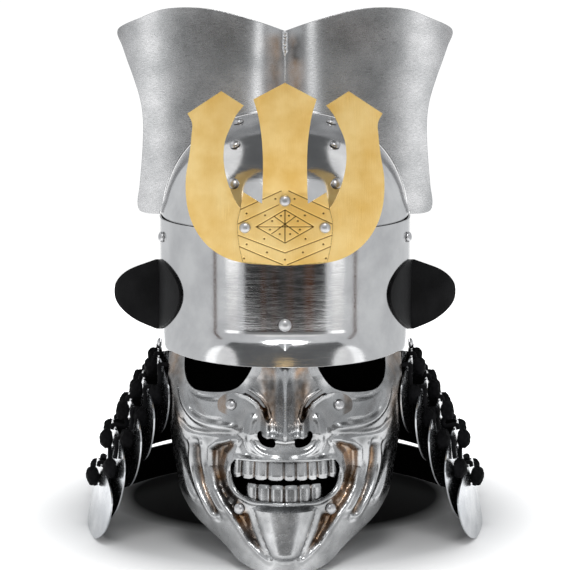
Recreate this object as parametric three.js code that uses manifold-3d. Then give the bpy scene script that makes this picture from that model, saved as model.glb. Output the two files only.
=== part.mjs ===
// A polished steel samurai helmet with a face mask and a laced neck guard, in millimetres.
// The face looks along -Y, +X is to the right of a person who faces it, and it stands on z = 0.
import * as THREE from "three";
import { mergeVertices } from "three/addons/utils/BufferGeometryUtils.js";
import Module from "manifold-3d";

const wasm = await Module();
wasm.setup();

// Driving dimensions
const sheet = 1.5; // steel sheet
const brassSheet = 1.5;
const clearance = 0.3; // gap that two pieces keep
const bowlHalfWidth = 102;
const bowlHalfDepth = 115;
const bowlRound = 2.2; // 2 is an ellipse, more is squarer
const bowlEdge = 153; // lower edge of the bowl above the ground
const bandHeight = 109;
const visorReach = 20;
const visorHeight = 24; // from the lip up to the crease
const visorRaise = 8; // how far the lip lies above the lower edge of the band
const visorTurn = 85; // degrees from the front at which the flare ends
const domeHeight = 98;
const domeRound = 2.3;
const domeLap = 14; // how far the dome goes down inside the band
const crestHalfWidth = 136.8;
const crestHeight = 168;
const crestLap = 1.5; // how far the crest goes down past the top of the band
const crestRidge = 24; // how far the middle of the crest stands forward
const crestRidgeWidth = 17;
const crestWing = 24; // how far its outer edges bend back
const rimWidth = 4;
const ornamentHalfWidth = 75.4;
const ornamentHeight = 131;
const ornamentBase = 237; // lower edge of the ornament above the ground
const ornamentBend = 300; // radius that the brass plates are bent to
const bladeRise = 7; // how far the blade stands above the horns
const bladeLean = 7; // how far its tip leans forward
const panelHalfWidth = 36;
const sidePlateHeight = 57;
const sidePlateBase = 170.5;
const sidePlateReach = 46;
const sidePlateLap = 58; // how far it lies along the bowl
const sidePlateSheet = 2;
const sidePlateBack = 22; // its crease lies this far in front of the bowl's middle
const sidePlateTurn = 25; // degrees that the free half leans back
const maskHeight = 186;
const maskReach = 150;
const maskHalfAngle = 62.5; // degrees each side of the front
const noseReach = 34;
const toothRelief = 2.2;
const toothSheet = 3;
const lameDrop = [120, 86.6, 63.8, 42.5, 15.5, 0]; // lowest point of each front end
const lameTop = [165, 148.6, 130.4, 112.7, 89.2, 58]; // top edge at the front
const lameBackDrop = [130, 110, 86, 62, 38, 0]; // lower edge at the back
const lameBackTop = [165, 141, 117, 93, 69, 31];
const lameHalfWidth = [0, 105.5, 119, 131, 145.5, 158.4]; // at the top edge; the first follows the bowl
const lameFlare = [0, 1, 3.5, 6, 11, 10]; // how much wider the lower edge is
const lameBackFlare = 13; // and how much further its lower edge stands out at the back
const lameLastBack = 208;
const lameCentre = 45; // the widest place of the last lame lies this far behind the bowl's middle
const lameSecondNose = 166; // half length of the plan in front of the widest place
const lameLastNose = 230;
const lameFront = [46, 72, 72, 72, 72, 72]; // the front ends reach this far forward
const lameTurn = [14, 28, 28, 28, 28, 28]; // their rounding starts here
const lameSheet = 1.2;
const lameLeafMiddle = 0.62; // the tip of a front end lies at this share of its height
const cordSize = 3.2;
const knotWidth = 10.4;
const knotHeight = 15;
const knotDepth = 7;
const knotTaper = 2; // height in which the cord widens into a knot
const domeRivet = 4.2; // rivet radii
const smallRivet = 4.3;
const browRivet = 4.8;
const pinRivet = 3.6;
const bandRivetTurn = 68; // degrees from the front
const neckPinTurn = 84;
const neckPinRise = 4.5; // above the lower edge of the bowl
const cheekRivetTurn = 20.2;
const cheekRivetUp = 0.686; // share of the mask's height
const chinRivetTurn = 15.2;
const chinRivetUp = 0.267;
const noseHalfAngle = 30; // degrees that the nose plate is bent round the face

const bandTop = bowlEdge + bandHeight;
const domeBase = bandTop - domeLap;
const creaseHeight = bowlEdge + visorRaise + visorHeight;
const crestBase = bandTop - crestLap;

const steel = new THREE.MeshStandardMaterial({ color: 0xc9cbcd, metalness: 1, roughness: 0.22 });
const rivetSteel = new THREE.MeshStandardMaterial({ color: 0xd8dadc, metalness: 1, roughness: 0.15 });
const brass = new THREE.MeshStandardMaterial({ color: 0xdcb765, metalness: 1, roughness: 0.35 });
const blackPlate = new THREE.MeshStandardMaterial({ color: 0x1b1b1d, metalness: 0.2, roughness: 0.5 });
const cord = new THREE.MeshStandardMaterial({ color: 0x101012, metalness: 0, roughness: 0.9 });

const root = new THREE.Group();
const degrees = THREE.MathUtils.degToRad;

// Solids

function signedVolume(points, triangles) {
  const cross = new THREE.Vector3();
  let sum = 0;
  for (const [a, b, c] of triangles) {
    sum += cross.crossVectors(points[b], points[c]).dot(points[a]) / 6;
  }
  return sum;
}

function fromTriangles(points, triangles) {
  const turned = signedVolume(points, triangles) < 0;
  const positions = [];
  for (const [a, b, c] of triangles) {
    const corners = turned ? [a, c, b] : [a, b, c];
    for (const corner of corners) {
      positions.push(points[corner].x, points[corner].y, points[corner].z);
    }
  }
  const geometry = new THREE.BufferGeometry();
  geometry.setAttribute("position", new THREE.Float32BufferAttribute(positions, 3));
  return geometry;
}

function toSolid(geometry) {
  const bare = new THREE.BufferGeometry();
  bare.setAttribute("position", geometry.getAttribute("position"));
  if (geometry.index) {
    bare.setIndex(geometry.index);
  }
  const merged = mergeVertices(bare, 1e-4);
  const corners = merged.index.array;
  const kept = [];
  for (let i = 0; i < corners.length; i += 3) {
    const [a, b, c] = [corners[i], corners[i + 1], corners[i + 2]];
    if (a !== b && b !== c && c !== a) {
      kept.push(a, b, c);
    }
  }
  return new wasm.Manifold(new wasm.Mesh({
    numProp: 3,
    vertProperties: new Float32Array(merged.getAttribute("position").array),
    triVerts: new Uint32Array(kept),
  }));
}

function fromSolid(solid) {
  const mesh = solid.getMesh();
  const geometry = new THREE.BufferGeometry();
  geometry.setAttribute("position", new THREE.BufferAttribute(mesh.vertProperties, 3));
  geometry.setIndex(new THREE.BufferAttribute(mesh.triVerts, 1));
  const flat = geometry.toNonIndexed();
  flat.computeVertexNormals();
  return flat;
}

function place(name, shape, material) {
  const solid = shape.isBufferGeometry ? toSolid(shape) : shape;
  const mesh = new THREE.Mesh(fromSolid(solid), material);
  mesh.name = name;
  root.add(mesh);
  return mesh;
}

// Each section has an outer and an inner row of points, and the sections are joined side by side.
function shell(sections, closed = false) {
  const points = [];
  const triangles = [];
  const rows = sections[0].outer.length;
  const around = 2 * rows;
  for (const section of sections) {
    points.push(...section.outer, ...[...section.inner].reverse());
  }
  const last = closed ? sections.length : sections.length - 1;
  for (let i = 0; i < last; i += 1) {
    const here = i * around;
    const next = ((i + 1) % sections.length) * around;
    for (let j = 0; j < around; j += 1) {
      const k = (j + 1) % around;
      triangles.push([here + j, next + j, next + k], [here + j, next + k, here + k]);
    }
  }
  if (!closed) {
    const end = (sections.length - 1) * around;
    for (let j = 0; j < rows - 1; j += 1) {
      const [a, b, c, d] = [j, j + 1, around - 2 - j, around - 1 - j];
      triangles.push([a, b, c], [a, c, d], [end + a, end + c, end + b], [end + a, end + d, end + c]);
    }
  }
  return fromTriangles(points, triangles);
}

// Closed rings, one above the other, with a fan over the first and the last.
function block(rings) {
  const points = [];
  const triangles = [];
  const count = rings[0].length;
  for (const ring of rings) {
    points.push(...ring);
  }
  for (let i = 0; i < rings.length - 1; i += 1) {
    for (let j = 0; j < count; j += 1) {
      const k = (j + 1) % count;
      const [a, b] = [i * count + j, i * count + k];
      triangles.push([a, b, b + count], [a, b + count, a + count]);
    }
  }
  const middle = (ring) => ring.reduce((sum, p) => sum.add(p), new THREE.Vector3()).divideScalar(count);
  const low = points.push(middle(rings[0])) - 1;
  const high = points.push(middle(rings[rings.length - 1])) - 1;
  const top = (rings.length - 1) * count;
  for (let j = 0; j < count; j += 1) {
    const k = (j + 1) % count;
    triangles.push([low, k, j], [high, top + j, top + k]);
  }
  return fromTriangles(points, triangles);
}

// A flat outline in X and Z, drawn out along Y from front to back.
function prism(shape, front, back) {
  const geometry = new THREE.ExtrudeGeometry(shape, {
    depth: back - front,
    bevelEnabled: false,
    curveSegments: 5,
  });
  geometry.rotateX(Math.PI / 2);
  geometry.translate(0, back, 0);
  return toSolid(geometry);
}

// Outline of one half, from its lowest middle point round to its highest, then mirrored.
function mirroredShape(half) {
  const left = [...half].reverse().filter(([x]) => x > 0).map(([x, z]) => [-x, z]);
  return new THREE.Shape([...half, ...left].map(([x, z]) => new THREE.Vector2(x, z)));
}

// Reads a table with named columns at a place between its rows, along a smooth curve.
function readTable(table, key, column, at) {
  let i = 0;
  while (i < table.length - 2 && at > table[i + 1][key]) {
    i += 1;
  }
  const row = (k) => table[Math.min(Math.max(k, 0), table.length - 1)];
  const [p, q] = [row(i), row(i + 1)];
  const span = q[key] - p[key];
  const share = Math.min(Math.max((at - p[key]) / span, 0), 1);
  const slope = (a, b) => (b[key] === a[key] ? 0 : ((b[column] - a[column]) / (b[key] - a[key])) * span);
  const [m, n] = [slope(row(i - 1), row(i + 1)), slope(row(i), row(i + 2))];
  const [s2, s3] = [share ** 2, share ** 3];
  return (2 * s3 - 3 * s2 + 1) * p[column] + (s3 - 2 * s2 + share) * m
    + (3 * s2 - 2 * s3) * q[column] + (s3 - s2) * n;
}

function evenly(from, to, steps) {
  return Array.from({ length: steps + 1 }, (_, i) => from + ((to - from) * i) / steps);
}

// Runs from 0 at one edge to 1 at the other, which may be the smaller number.
function smooth(from, to, x) {
  const share = THREE.MathUtils.clamp((x - from) / (to - from), 0, 1);
  return share * share * (3 - 2 * share);
}

// Plans are drawn round the middle of the bowl, with angle 0 at the front.
function planRadius(angle, halfWidth, halfDepth, round) {
  const side = Math.abs(Math.sin(angle)) / halfWidth;
  const front = Math.abs(Math.cos(angle)) / halfDepth;
  return (side ** round + front ** round) ** (-1 / round);
}

const polar = (angle, radius, z) => new THREE.Vector3(radius * Math.sin(angle), -radius * Math.cos(angle), z);

// Rivets

function rivet(name, radius, at, outward) {
  const profile = [[0, 0], [radius, 0], [radius * 0.78, radius * 0.46], [0, radius * 0.72]];
  const geometry = new THREE.LatheGeometry(profile.map(([r, h]) => new THREE.Vector2(r, h)), 8);
  const facing = outward.clone().normalize();
  geometry.applyQuaternion(new THREE.Quaternion().setFromUnitVectors(new THREE.Vector3(0, 1, 0), facing));
  const seat = at.clone().addScaledVector(facing, clearance);
  geometry.translate(seat.x, seat.y, seat.z);
  place(name, geometry, rivetSteel);
}

// Seats a rivet on a surface that is given by two running values.
function rivetOn(name, radius, surface, a, b) {
  const step = 0.01;
  const at = surface(a, b);
  const across = surface(a + step, b).sub(surface(a - step, b));
  const up = surface(a, b + step * 20).sub(surface(a, b - step * 20));
  const outward = across.cross(up).normalize();
  if (outward.dot(new THREE.Vector3(at.x, at.y, 0)) < 0) {
    outward.negate();
  }
  rivet(name, radius, at, outward);
}

// Bowl: the brow band with its visor, and the dome

function visorShare(angle) {
  const turn = Math.atan2(Math.sin(angle), Math.cos(angle));
  return Math.max(0, Math.cos(Math.abs(turn) * (90 / visorTurn))) ** 3;
}

function bandLip(angle) {
  const turn = Math.abs(Math.atan2(Math.sin(angle), Math.cos(angle)));
  return bowlEdge + visorRaise * smooth(degrees(76), degrees(50), turn);
}

function bandPoint(angle, z, inset) {
  const share = THREE.MathUtils.clamp((creaseHeight - z) / visorHeight, 0, 1);
  const flare = visorReach * visorShare(angle) * (0.25 * share + 0.75 * share ** 1.6);
  return polar(angle, planRadius(angle, bowlHalfWidth, bowlHalfDepth, bowlRound) + flare - inset, z);
}

const bandAngles = evenly(0, 2 * Math.PI, 60).slice(0, -1);

function bandLevels(angle) {
  const lip = bandLip(angle);
  return [bandTop, creaseHeight, (creaseHeight + lip) / 2, lip];
}

function buildBand() {
  const sections = bandAngles.map((angle) => {
    const levels = bandLevels(angle);
    return {
      outer: levels.map((z) => bandPoint(angle, z, 0)),
      inner: levels.map((z) => bandPoint(angle, z, sheet)),
    };
  });
  place("brow_band", shell(sections, true), steel);
}

function domePoint(angle, rise, grow) {
  const inset = sheet + clearance - grow;
  const radius = planRadius(angle, bowlHalfWidth - inset, bowlHalfDepth - inset, bowlRound);
  const width = Math.max(Math.cos(rise), 0) ** (2 / domeRound);
  const height = (domeHeight + grow) * Math.sin(rise) ** (2 / domeRound);
  return polar(angle, radius * width, domeBase + height);
}

const domeRivets = [
  { x: 0.36, up: 0.925 }, { x: 0.38, up: 0.775 }, { x: 0.385, up: 0.495 },
];

// The place on the front of the dome at an X and a Z.
function domeFront(x, z) {
  const inset = sheet + clearance;
  const level = Math.min((z - domeBase) / domeHeight, 1);
  const width = (1 - Math.max(level, 0) ** domeRound) ** (1 / domeRound);
  const across = Math.min(Math.abs(x) / ((bowlHalfWidth - inset) * width), 1);
  const ahead = (bowlHalfDepth - inset) * width * (1 - across ** bowlRound) ** (1 / bowlRound);
  return new THREE.Vector3(x, -ahead, z);
}

function buildDome() {
  const rises = evenly(0, Math.PI / 2, 7);
  const sections = evenly(0, 2 * Math.PI, 36).slice(0, -1).map((angle) => ({
    outer: rises.map((rise) => domePoint(angle, rise, 0)),
    inner: rises.map((rise) => domePoint(angle, rise, -sheet)),
  }));
  place("dome", shell(sections, true), steel);
}

// The space of the bowl, grown by a gap, which the pieces outside it are cut to fit.
function bowlSpace(gap) {
  const angles = evenly(0, 2 * Math.PI, 60).slice(0, -1);
  const bandRings = [0, 1, 2, 3].map((row) => bandAngles.map((angle) => {
    const z = bandLevels(angle)[row];
    return bandPoint(angle, z, -gap).setZ(row === 0 ? z + gap : z);
  }));
  const band = toSolid(block(bandRings));
  const rises = evenly(0, Math.PI / 2 - 0.02, 14);
  const dome = toSolid(block(rises.map((rise) => angles.map((angle) => domePoint(angle, rise, gap)))));
  return band.add(dome);
}

// Crest: two lobes that meet at a ridge, cut to the shape of the bowl

const crestOutline = [
  { x: 0, z: 0.893 }, { x: 0.118, z: 0.924 }, { x: 0.219, z: 0.949 }, { x: 0.354, z: 0.979 },
  { x: 0.455, z: 0.994 }, { x: 0.555, z: 1 }, { x: 0.66, z: 0.997 }, { x: 0.739, z: 0.987 },
  { x: 0.863, z: 0.948 }, { x: 0.975, z: 0.908 }, { x: 0.995, z: 0.894 }, { x: 1, z: 0.873 },
  { x: 0.973, z: 0.818 }, { x: 0.94, z: 0.741 }, { x: 0.907, z: 0.669 }, { x: 0.863, z: 0.552 },
  { x: 0.849, z: 0.469 }, { x: 0.851, z: 0.343 }, { x: 0.862, z: 0.23 }, { x: 0.874, z: 0.132 },
  { x: 0.887, z: 0.042 }, { x: 0.875, z: 0.013 }, { x: 0.845, z: 0.003 }, { x: 0.72, z: 0 },
  { x: 0.6, z: 0 }, { x: 0, z: 0 },
];

function crestDepth(x, z) {
  const across = Math.abs(x) / crestHalfWidth;
  const up = THREE.MathUtils.clamp((z - crestBase) / crestHeight, 0, 1);
  const ridge = crestRidge * Math.exp(-Math.abs(x) / (crestRidgeWidth * (1.3 - 0.6 * up)));
  return crestWing * across ** 3 - ridge;
}

function buildCrest() {
  const right = [0.06, 0.14, 0.26, 0.42, 0.6, 0.76, 0.9, 1.04];
  const shares = [...right.map((share) => -share).reverse(), 0, ...right];
  const levels = evenly(crestBase - 5, crestBase + crestHeight + 5, 4);
  const row = (x, side) => levels.map((z) => new THREE.Vector3(x, crestDepth(x, z) + (side * sheet) / 2, z));
  const columns = shares.map((share) => share * crestHalfWidth);
  const sections = columns.map((x) => ({ outer: row(x, -1), inner: row(x, 1) }));
  const half = crestOutline.map(({ x, z }) => [x * crestHalfWidth, crestBase + z * crestHeight]).reverse();
  const outline = prism(mirroredShape(half), -bowlHalfDepth, bowlHalfDepth);
  place("crest", toSolid(shell(sections)).intersect(outline).subtract(bowlSpace(clearance)), steel);
}

// The joint between crest and dome, at an angle from the +X side over the top to the -X side.
function crestSeam(turn, gap) {
  const [c, s] = [Math.cos(turn), Math.sin(turn)];
  let depth = 0;
  let point = new THREE.Vector3();
  for (let i = 0; i < 12; i += 1) {
    const halfDepth = bowlHalfDepth - sheet - clearance + gap;
    const halfWidth = bowlHalfWidth - sheet - clearance + gap;
    const reach = (1 - Math.min(Math.abs(depth) / halfDepth, 1) ** bowlRound) ** (1 / bowlRound);
    const across = Math.abs(c) / (halfWidth * reach);
    const up = Math.abs(s) / (domeHeight + gap);
    const radius = (across ** domeRound + up ** domeRound) ** (-1 / domeRound);
    point = new THREE.Vector3(radius * c, depth, domeBase + radius * s);
    depth = crestDepth(point.x, point.z);
  }
  return point;
}

function buildCrestRim() {
  const start = Math.asin((bandTop + 2 - domeBase) / bowlHalfWidth);
  const sections = evenly(start, Math.PI - start, 20).map((turn) => {
    const low = crestSeam(turn, clearance);
    const high = crestSeam(turn, clearance + sheet);
    const back = sheet / 2 + 2 * clearance;
    const at = (point, forward) => point.clone().add(new THREE.Vector3(0, -forward, 0));
    return {
      outer: [at(high, back), at(high, back + rimWidth)],
      inner: [at(low, back), at(low, back + rimWidth)],
    };
  });
  place("crest_rim", toSolid(shell(sections)).subtract(bowlSpace(clearance)), steel);
}

// Brass ornament: a plate with two horns, and in front of it a blade with a spiked panel

const hornOutline = [
  { x: 0, z: 0 }, { x: 0.459, z: 0.014 }, { x: 0.6, z: 0.038 }, { x: 0.736, z: 0.084 },
  { x: 0.843, z: 0.145 }, { x: 0.927, z: 0.225 }, { x: 0.979, z: 0.315 }, { x: 1, z: 0.42 },
  { x: 0.995, z: 0.51 }, { x: 0.959, z: 0.633 }, { x: 0.935, z: 0.747 }, { x: 0.93, z: 0.817 },
  { x: 0.975, z: 0.87 }, { x: 0.634, z: 1 }, { x: 0.41, z: 0.919 }, { x: 0.484, z: 0.865 },
  { x: 0.544, z: 0.794 }, { x: 0.598, z: 0.716 }, { x: 0.614, z: 0.636 }, { x: 0.606, z: 0.557 },
  { x: 0.57, z: 0.47 }, { x: 0.516, z: 0.39 }, { x: 0.448, z: 0.328 }, { x: 0.28, z: 0.272 },
  { x: 0, z: 0.25 },
];

const bladeOutline = [
  { x: 0, z: -0.004 }, { x: 0.892, z: 0.014 }, { x: 0.972, z: 0.112 }, { x: 1, z: 0.235 },
  { x: 0.936, z: 0.31 }, { x: 0.867, z: 0.4 }, { x: 0.48, z: 0.338 }, { x: 0.467, z: 0.42 },
  { x: 0.467, z: 0.64 }, { x: 0.503, z: 0.74 }, { x: 0.564, z: 0.83 }, { x: 0.653, z: 0.91 },
  { x: 0, z: 1 },
];

const bladeBendHeight = ornamentBase + ornamentHeight * 0.42;

function ornamentDepth(x, z, layer) {
  const seat = bowlHalfDepth + clearance + layer * (brassSheet + clearance);
  const lean = layer * bladeLean * Math.max(0, (z - bladeBendHeight) / (ornamentHeight * 0.6));
  return (x * x) / (2 * ornamentBend) - seat - lean;
}

function ornamentSheet(halfWidth, layer) {
  const levels = [ornamentBase - 3, bladeBendHeight, ornamentBase + ornamentHeight + bladeRise + 3];
  const row = (x, add) => levels.map((z) => new THREE.Vector3(x, ornamentDepth(x, z, layer) - add, z));
  const columns = evenly(-halfWidth - 1, halfWidth + 1, 12);
  const sections = columns.map((x) => ({ outer: row(x, brassSheet), inner: row(x, 0) }));
  return toSolid(shell(sections));
}

function buildOrnament() {
  const horns = hornOutline.map(({ x, z }) => [x * ornamentHalfWidth, ornamentBase + z * ornamentHeight]);
  const bladeHeight = ornamentHeight + bladeRise;
  const blade = bladeOutline.map(({ x, z }) => [x * panelHalfWidth, ornamentBase + z * bladeHeight]);
  const front = -bowlHalfDepth - 60;
  const cut = (halfWidth, layer, outline) =>
    ornamentSheet(halfWidth, layer).intersect(prism(mirroredShape(outline), front, 0));
  place("ornament_horns", cut(ornamentHalfWidth, 0, horns), brass);
  place("ornament_blade", cut(panelHalfWidth, 1, blade), brass);
  const forward = new THREE.Vector3(0, -1, 0);
  const spots = { top: [0, 0.355], left: [-0.84, 0.206], right: [0.84, 0.206] };
  for (const [side, [x, z]] of Object.entries(spots)) {
    const [across, up] = [x * panelHalfWidth, ornamentBase + z * bladeHeight];
    const at = new THREE.Vector3(across, ornamentDepth(across, up, 1) - brassSheet, up);
    const facing = forward.clone().add(new THREE.Vector3(across / ornamentBend, 0, 0));
    rivet(`ornament_rivet_${side}`, smallRivet, at, facing);
  }
}

// Side plates: a folded leaf, one half along the bowl and the other standing out from it

const leafWidth = [
  { up: 0, share: 0.04 }, { up: 0.12, share: 0.5 }, { up: 0.3, share: 0.9 }, { up: 0.45, share: 1 },
  { up: 0.62, share: 0.93 }, { up: 0.82, share: 0.6 }, { up: 1, share: 0.04 },
];

function sidePlatePoint(side, along, z, offset) {
  const start = Math.atan2(bowlHalfWidth, sidePlateBack);
  const gap = clearance / 2 + offset;
  if (along <= 0) {
    const angle = start + along / (0.5 * (bowlHalfWidth + bowlHalfDepth));
    const point = bandPoint(angle, z, -gap);
    return new THREE.Vector3(side * point.x, point.y, z);
  }
  const crease = bandPoint(start, z, -gap);
  const turn = degrees(sidePlateTurn) * (0.6 + (0.8 * along) / sidePlateReach);
  const out = new THREE.Vector3(Math.cos(turn), Math.sin(turn), 0);
  const point = crease.addScaledVector(out, along);
  return new THREE.Vector3(side * point.x, point.y, z);
}

function buildSidePlate(name, side) {
  const sections = leafWidth.map(({ up, share }) => {
    const z = sidePlateBase + up * sidePlateHeight;
    const steps = [-1, -0.84, -0.67, -0.5, -0.33, -0.16, 0, 0.33, 0.66, 1];
    const along = steps.map((step) => step * share * (step < 0 ? sidePlateLap : sidePlateReach));
    return {
      outer: along.map((a) => sidePlatePoint(side, a, z, sidePlateSheet)),
      inner: along.map((a) => sidePlatePoint(side, a, z, 0)),
    };
  });
  place(name, toSolid(shell(sections)).subtract(bowlSpace(clearance)), blackPlate);
}

// Neck guard: lames round the sides and back, each lower one further out

const lameCount = lameTop.length;

function lameShape(index, fall) {
  const step = index / (lameCount - 1);
  const centre = lameCentre * step;
  const flare = lameFlare[index] * fall;
  const within = sheet + 1.5 * clearance;
  if (index === 0) {
    const [halfWidth, back] = [bowlHalfWidth - within, bowlHalfDepth - within];
    return { centre, halfWidth, back, front: back, backRound: bowlRound, frontRound: bowlRound };
  }
  return {
    centre,
    halfWidth: lameHalfWidth[index] + flare,
    back: THREE.MathUtils.lerp(bowlHalfDepth, lameLastBack, step) - centre + lameBackFlare * fall,
    front: THREE.MathUtils.lerp(lameSecondNose, lameLastNose, (index - 1) / (lameCount - 2)),
    backRound: bowlRound - 0.1 - 0.35 * step,
    frontRound: 2,
  };
}

function lamePlan(index, angle, z) {
  const low = Math.min(lameDrop[index], lameBackDrop[index]);
  const shape = lameShape(index, (lameTop[index] - z) / (lameTop[index] - low));
  const ahead = Math.cos(angle) > 0;
  const [depth, round] = ahead ? [shape.front, shape.frontRound] : [shape.back, shape.backRound];
  const radius = planRadius(angle, shape.halfWidth, depth, round);
  return new THREE.Vector3(radius * Math.sin(angle), shape.centre - radius * Math.cos(angle), z);
}

// Level direction in which a lame faces.
function lameFacing(index, angle) {
  const z = lameTop[index];
  const along = lamePlan(index, angle + 0.01, z).sub(lamePlan(index, angle - 0.01, z));
  return new THREE.Vector3(along.y, -along.x, 0).normalize();
}

// The plan angle at which a lame passes a place in front of its widest point.
function lameAngleAt(index, y) {
  const shape = lameShape(index, 0);
  const ahead = (shape.centre - y) / shape.front;
  const across = shape.halfWidth * (1 - ahead ** shape.frontRound) ** (1 / shape.frontRound);
  return Math.atan2(across, shape.centre - y);
}

// Top and lower edge: level round the back, and drawn together in a rounded leaf at the front.
function lameEdges(index, y) {
  const backward = smooth(-lameTurn[index], 130, y);
  const top = THREE.MathUtils.lerp(lameTop[index], lameBackTop[index], backward);
  const low = THREE.MathUtils.lerp(lameDrop[index], lameBackDrop[index], backward);
  const length = lameFront[index] - lameTurn[index];
  const reach = THREE.MathUtils.clamp((-lameTurn[index] - y) / length, 0, 0.995);
  const middle = low + (top - low) * lameLeafMiddle;
  const round = Math.sqrt(1 - reach ** 2);
  return [middle + (top - middle) * round, middle - (middle - low) * round];
}

function lameAngles(index) {
  const first = lameAngleAt(index, -lameFront[index]);
  const near = [0, 0.02, 0.05, 0.09, 0.14, 0.2, 0.28];
  const shares = [...near, 0.38, 0.5, 0.62, 0.74, 0.87];
  const half = shares.map((share) => first + (Math.PI - first) * share);
  return [...half, Math.PI, ...half.map((angle) => 2 * Math.PI - angle).reverse()];
}

function buildLame(index) {
  const sections = lameAngles(index).map((angle) => {
    const y = lamePlan(index, angle, lameTop[index]).y;
    const [top, low] = lameEdges(index, y);
    const outer = [lamePlan(index, angle, top), lamePlan(index, angle, low)];
    const facing = lameFacing(index, angle);
    return { outer, inner: outer.map((point) => point.clone().addScaledVector(facing, -lameSheet)) };
  });
  place(`neck_lame_${index + 1}`, shell(sections), steel);
}

// Lacing: each column runs down the neck guard with a knot near the top of each lame

const lacingColumns = [
  { name: "front", ahead: 52, lowest: 4, drop: 13 },
  { name: "side", ahead: 25, lowest: 5, drop: 0 },
  { name: "rear_side", turn: 100, lowest: 5, drop: 0 },
  { name: "rear", turn: 126, lowest: 5, drop: 0 },
  { name: "near_back", turn: 152, lowest: 5, drop: 0 },
  { name: "back", turn: 180, lowest: 5, drop: 0 },
];

// A run of cord or a knot through some steps, each a place on a lame and the size of the section there.
function lacingRun(path, angleOf, side) {
  const spots = path.map(({ index, z, out }) => {
    const angle = angleOf(index);
    const spot = lamePlan(index, angle, z).addScaledVector(lameFacing(index, angle), out);
    return new THREE.Vector3(side * spot.x, spot.y, spot.z);
  });
  const sections = path.map((step, i) => {
    const facing = lameFacing(step.index, angleOf(step.index));
    const along = new THREE.Vector3(-side * facing.y, facing.x, 0);
    const before = spots[i].clone().sub(spots[Math.max(i - 1, 0)]).normalize();
    const after = spots[Math.min(i + 1, spots.length - 1)].clone().sub(spots[i]).normalize();
    const across = along.clone().cross(before.add(after)).normalize();
    const corner = (a, b) => spots[i].clone().addScaledVector(across, a * step.halfThick)
      .addScaledVector(along, b * step.halfWide);
    return { outer: [corner(1, -1), corner(1, 1)], inner: [corner(-1, -1), corner(-1, 1)] };
  });
  return toSolid(shell(sections));
}

function buildLacing(name, angleOf, side, column) {
  const half = cordSize / 2;
  const flat = clearance + half;
  const raised = clearance + knotDepth / 2;
  const cordStep = (index, z, out) => ({ index, z, out, halfThick: half, halfWide: half });
  const knotStep = (index, z) => (
    { index, z, out: raised, halfThick: knotDepth / 2, halfWide: knotWidth / 2 }
  );
  let solid = null;
  let lowest = Infinity;
  for (let index = 1; index <= column.lowest; index += 1) {
    const edge = lameEdges(index, lamePlan(index, angleOf(index), lameTop[index]).y)[0];
    const over = edge + clearance + half;
    const knot = over - column.drop - cordSize;
    const inKnot = over > lowest;
    const start = index === 1 ? clearance : (inKnot ? raised : flat);
    const path = [
      cordStep(index - 1, over, start),
      cordStep(index, over, flat),
      cordStep(index, knot, flat),
      knotStep(index, knot - knotTaper),
      knotStep(index, knot - knotHeight + knotTaper),
      cordStep(index, knot - knotHeight, flat),
    ];
    if (index > 1 && !inKnot) {
      path.unshift(cordStep(index - 1, lowest, flat));
    }
    const run = lacingRun(path, angleOf, side);
    solid = solid ? solid.add(run) : run;
    lowest = knot - knotHeight + 1;
  }
  place(name, solid, cord);
}

function buildNeckGuard() {
  for (let index = 0; index < lameCount; index += 1) {
    buildLame(index);
  }
  for (const column of lacingColumns) {
    const angleOf = (index) => (column.turn ? degrees(column.turn) : lameAngleAt(index, -column.ahead));
    if (column.turn === 180) {
      buildLacing(`lacing_${column.name}`, angleOf, 1, column);
      continue;
    }
    buildLacing(`lacing_${column.name}_left`, angleOf, -1, column);
    buildLacing(`lacing_${column.name}_right`, angleOf, 1, column);
  }
}

// Mask: sections from the chin up, round the same middle as the bowl

const maskSections = [
  { up: 0, width: 0.68, reach: 1, round: 2 },
  { up: 0.075, width: 0.7, reach: 0.98, round: 2 },
  { up: 0.11, width: 0.745, reach: 0.967, round: 2 },
  { up: 0.15, width: 0.81, reach: 0.953, round: 2 },
  { up: 0.2, width: 0.865, reach: 0.94, round: 2 },
  { up: 0.27, width: 0.915, reach: 0.92, round: 2 },
  { up: 0.38, width: 0.915, reach: 0.88, round: 2.05 },
  { up: 0.54, width: 0.955, reach: 0.827, round: 2.15 },
  { up: 0.7, width: 0.995, reach: 0.775, round: 2.2 },
  { up: 0.806, width: 1, reach: 0.754, round: 2.2 },
  { up: 1, width: 1, reach: 0.754, round: 2.2 },
];

const maskLowerEdge = [
  { turn: 0, up: 0.004 }, { turn: 0.24, up: 0.038 }, { turn: 0.346, up: 0.075 }, { turn: 0.508, up: 0.11 },
  { turn: 0.65, up: 0.148 }, { turn: 0.79, up: 0.197 }, { turn: 0.875, up: 0.274 }, { turn: 1, up: 0.42 },
];

// Swellings and hollows of the face: place and size as shares of the mask's half width and height.
const maskForms = [
  { x: 0.52, up: 0.61, wide: 0.2, tall: 0.09, out: 0.04 }, // cheek
  { x: 0.55, up: 0.8, wide: 0.2, tall: 0.08, out: -0.03 }, // eye hollow
  { x: 0.66, up: 0.42, wide: 0.13, tall: 0.16, out: -0.04 }, // hollow under the cheek
  { x: 0, up: 0.4, wide: 0.42, tall: 0.13, out: 0.03 }, // mouth
  { x: 0, up: 0.14, wide: 0.2, tall: 0.12, out: 0.012 }, // chin
];

function maskSwell(x, z) {
  let sum = 0;
  for (const form of maskForms) {
    const across = (Math.abs(x) / bowlHalfWidth - form.x) / form.wide;
    const up = (z / maskHeight - form.up) / form.tall;
    sum += form.out * maskReach * Math.exp(-(across ** 2) - up ** 2);
  }
  return sum;
}

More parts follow.
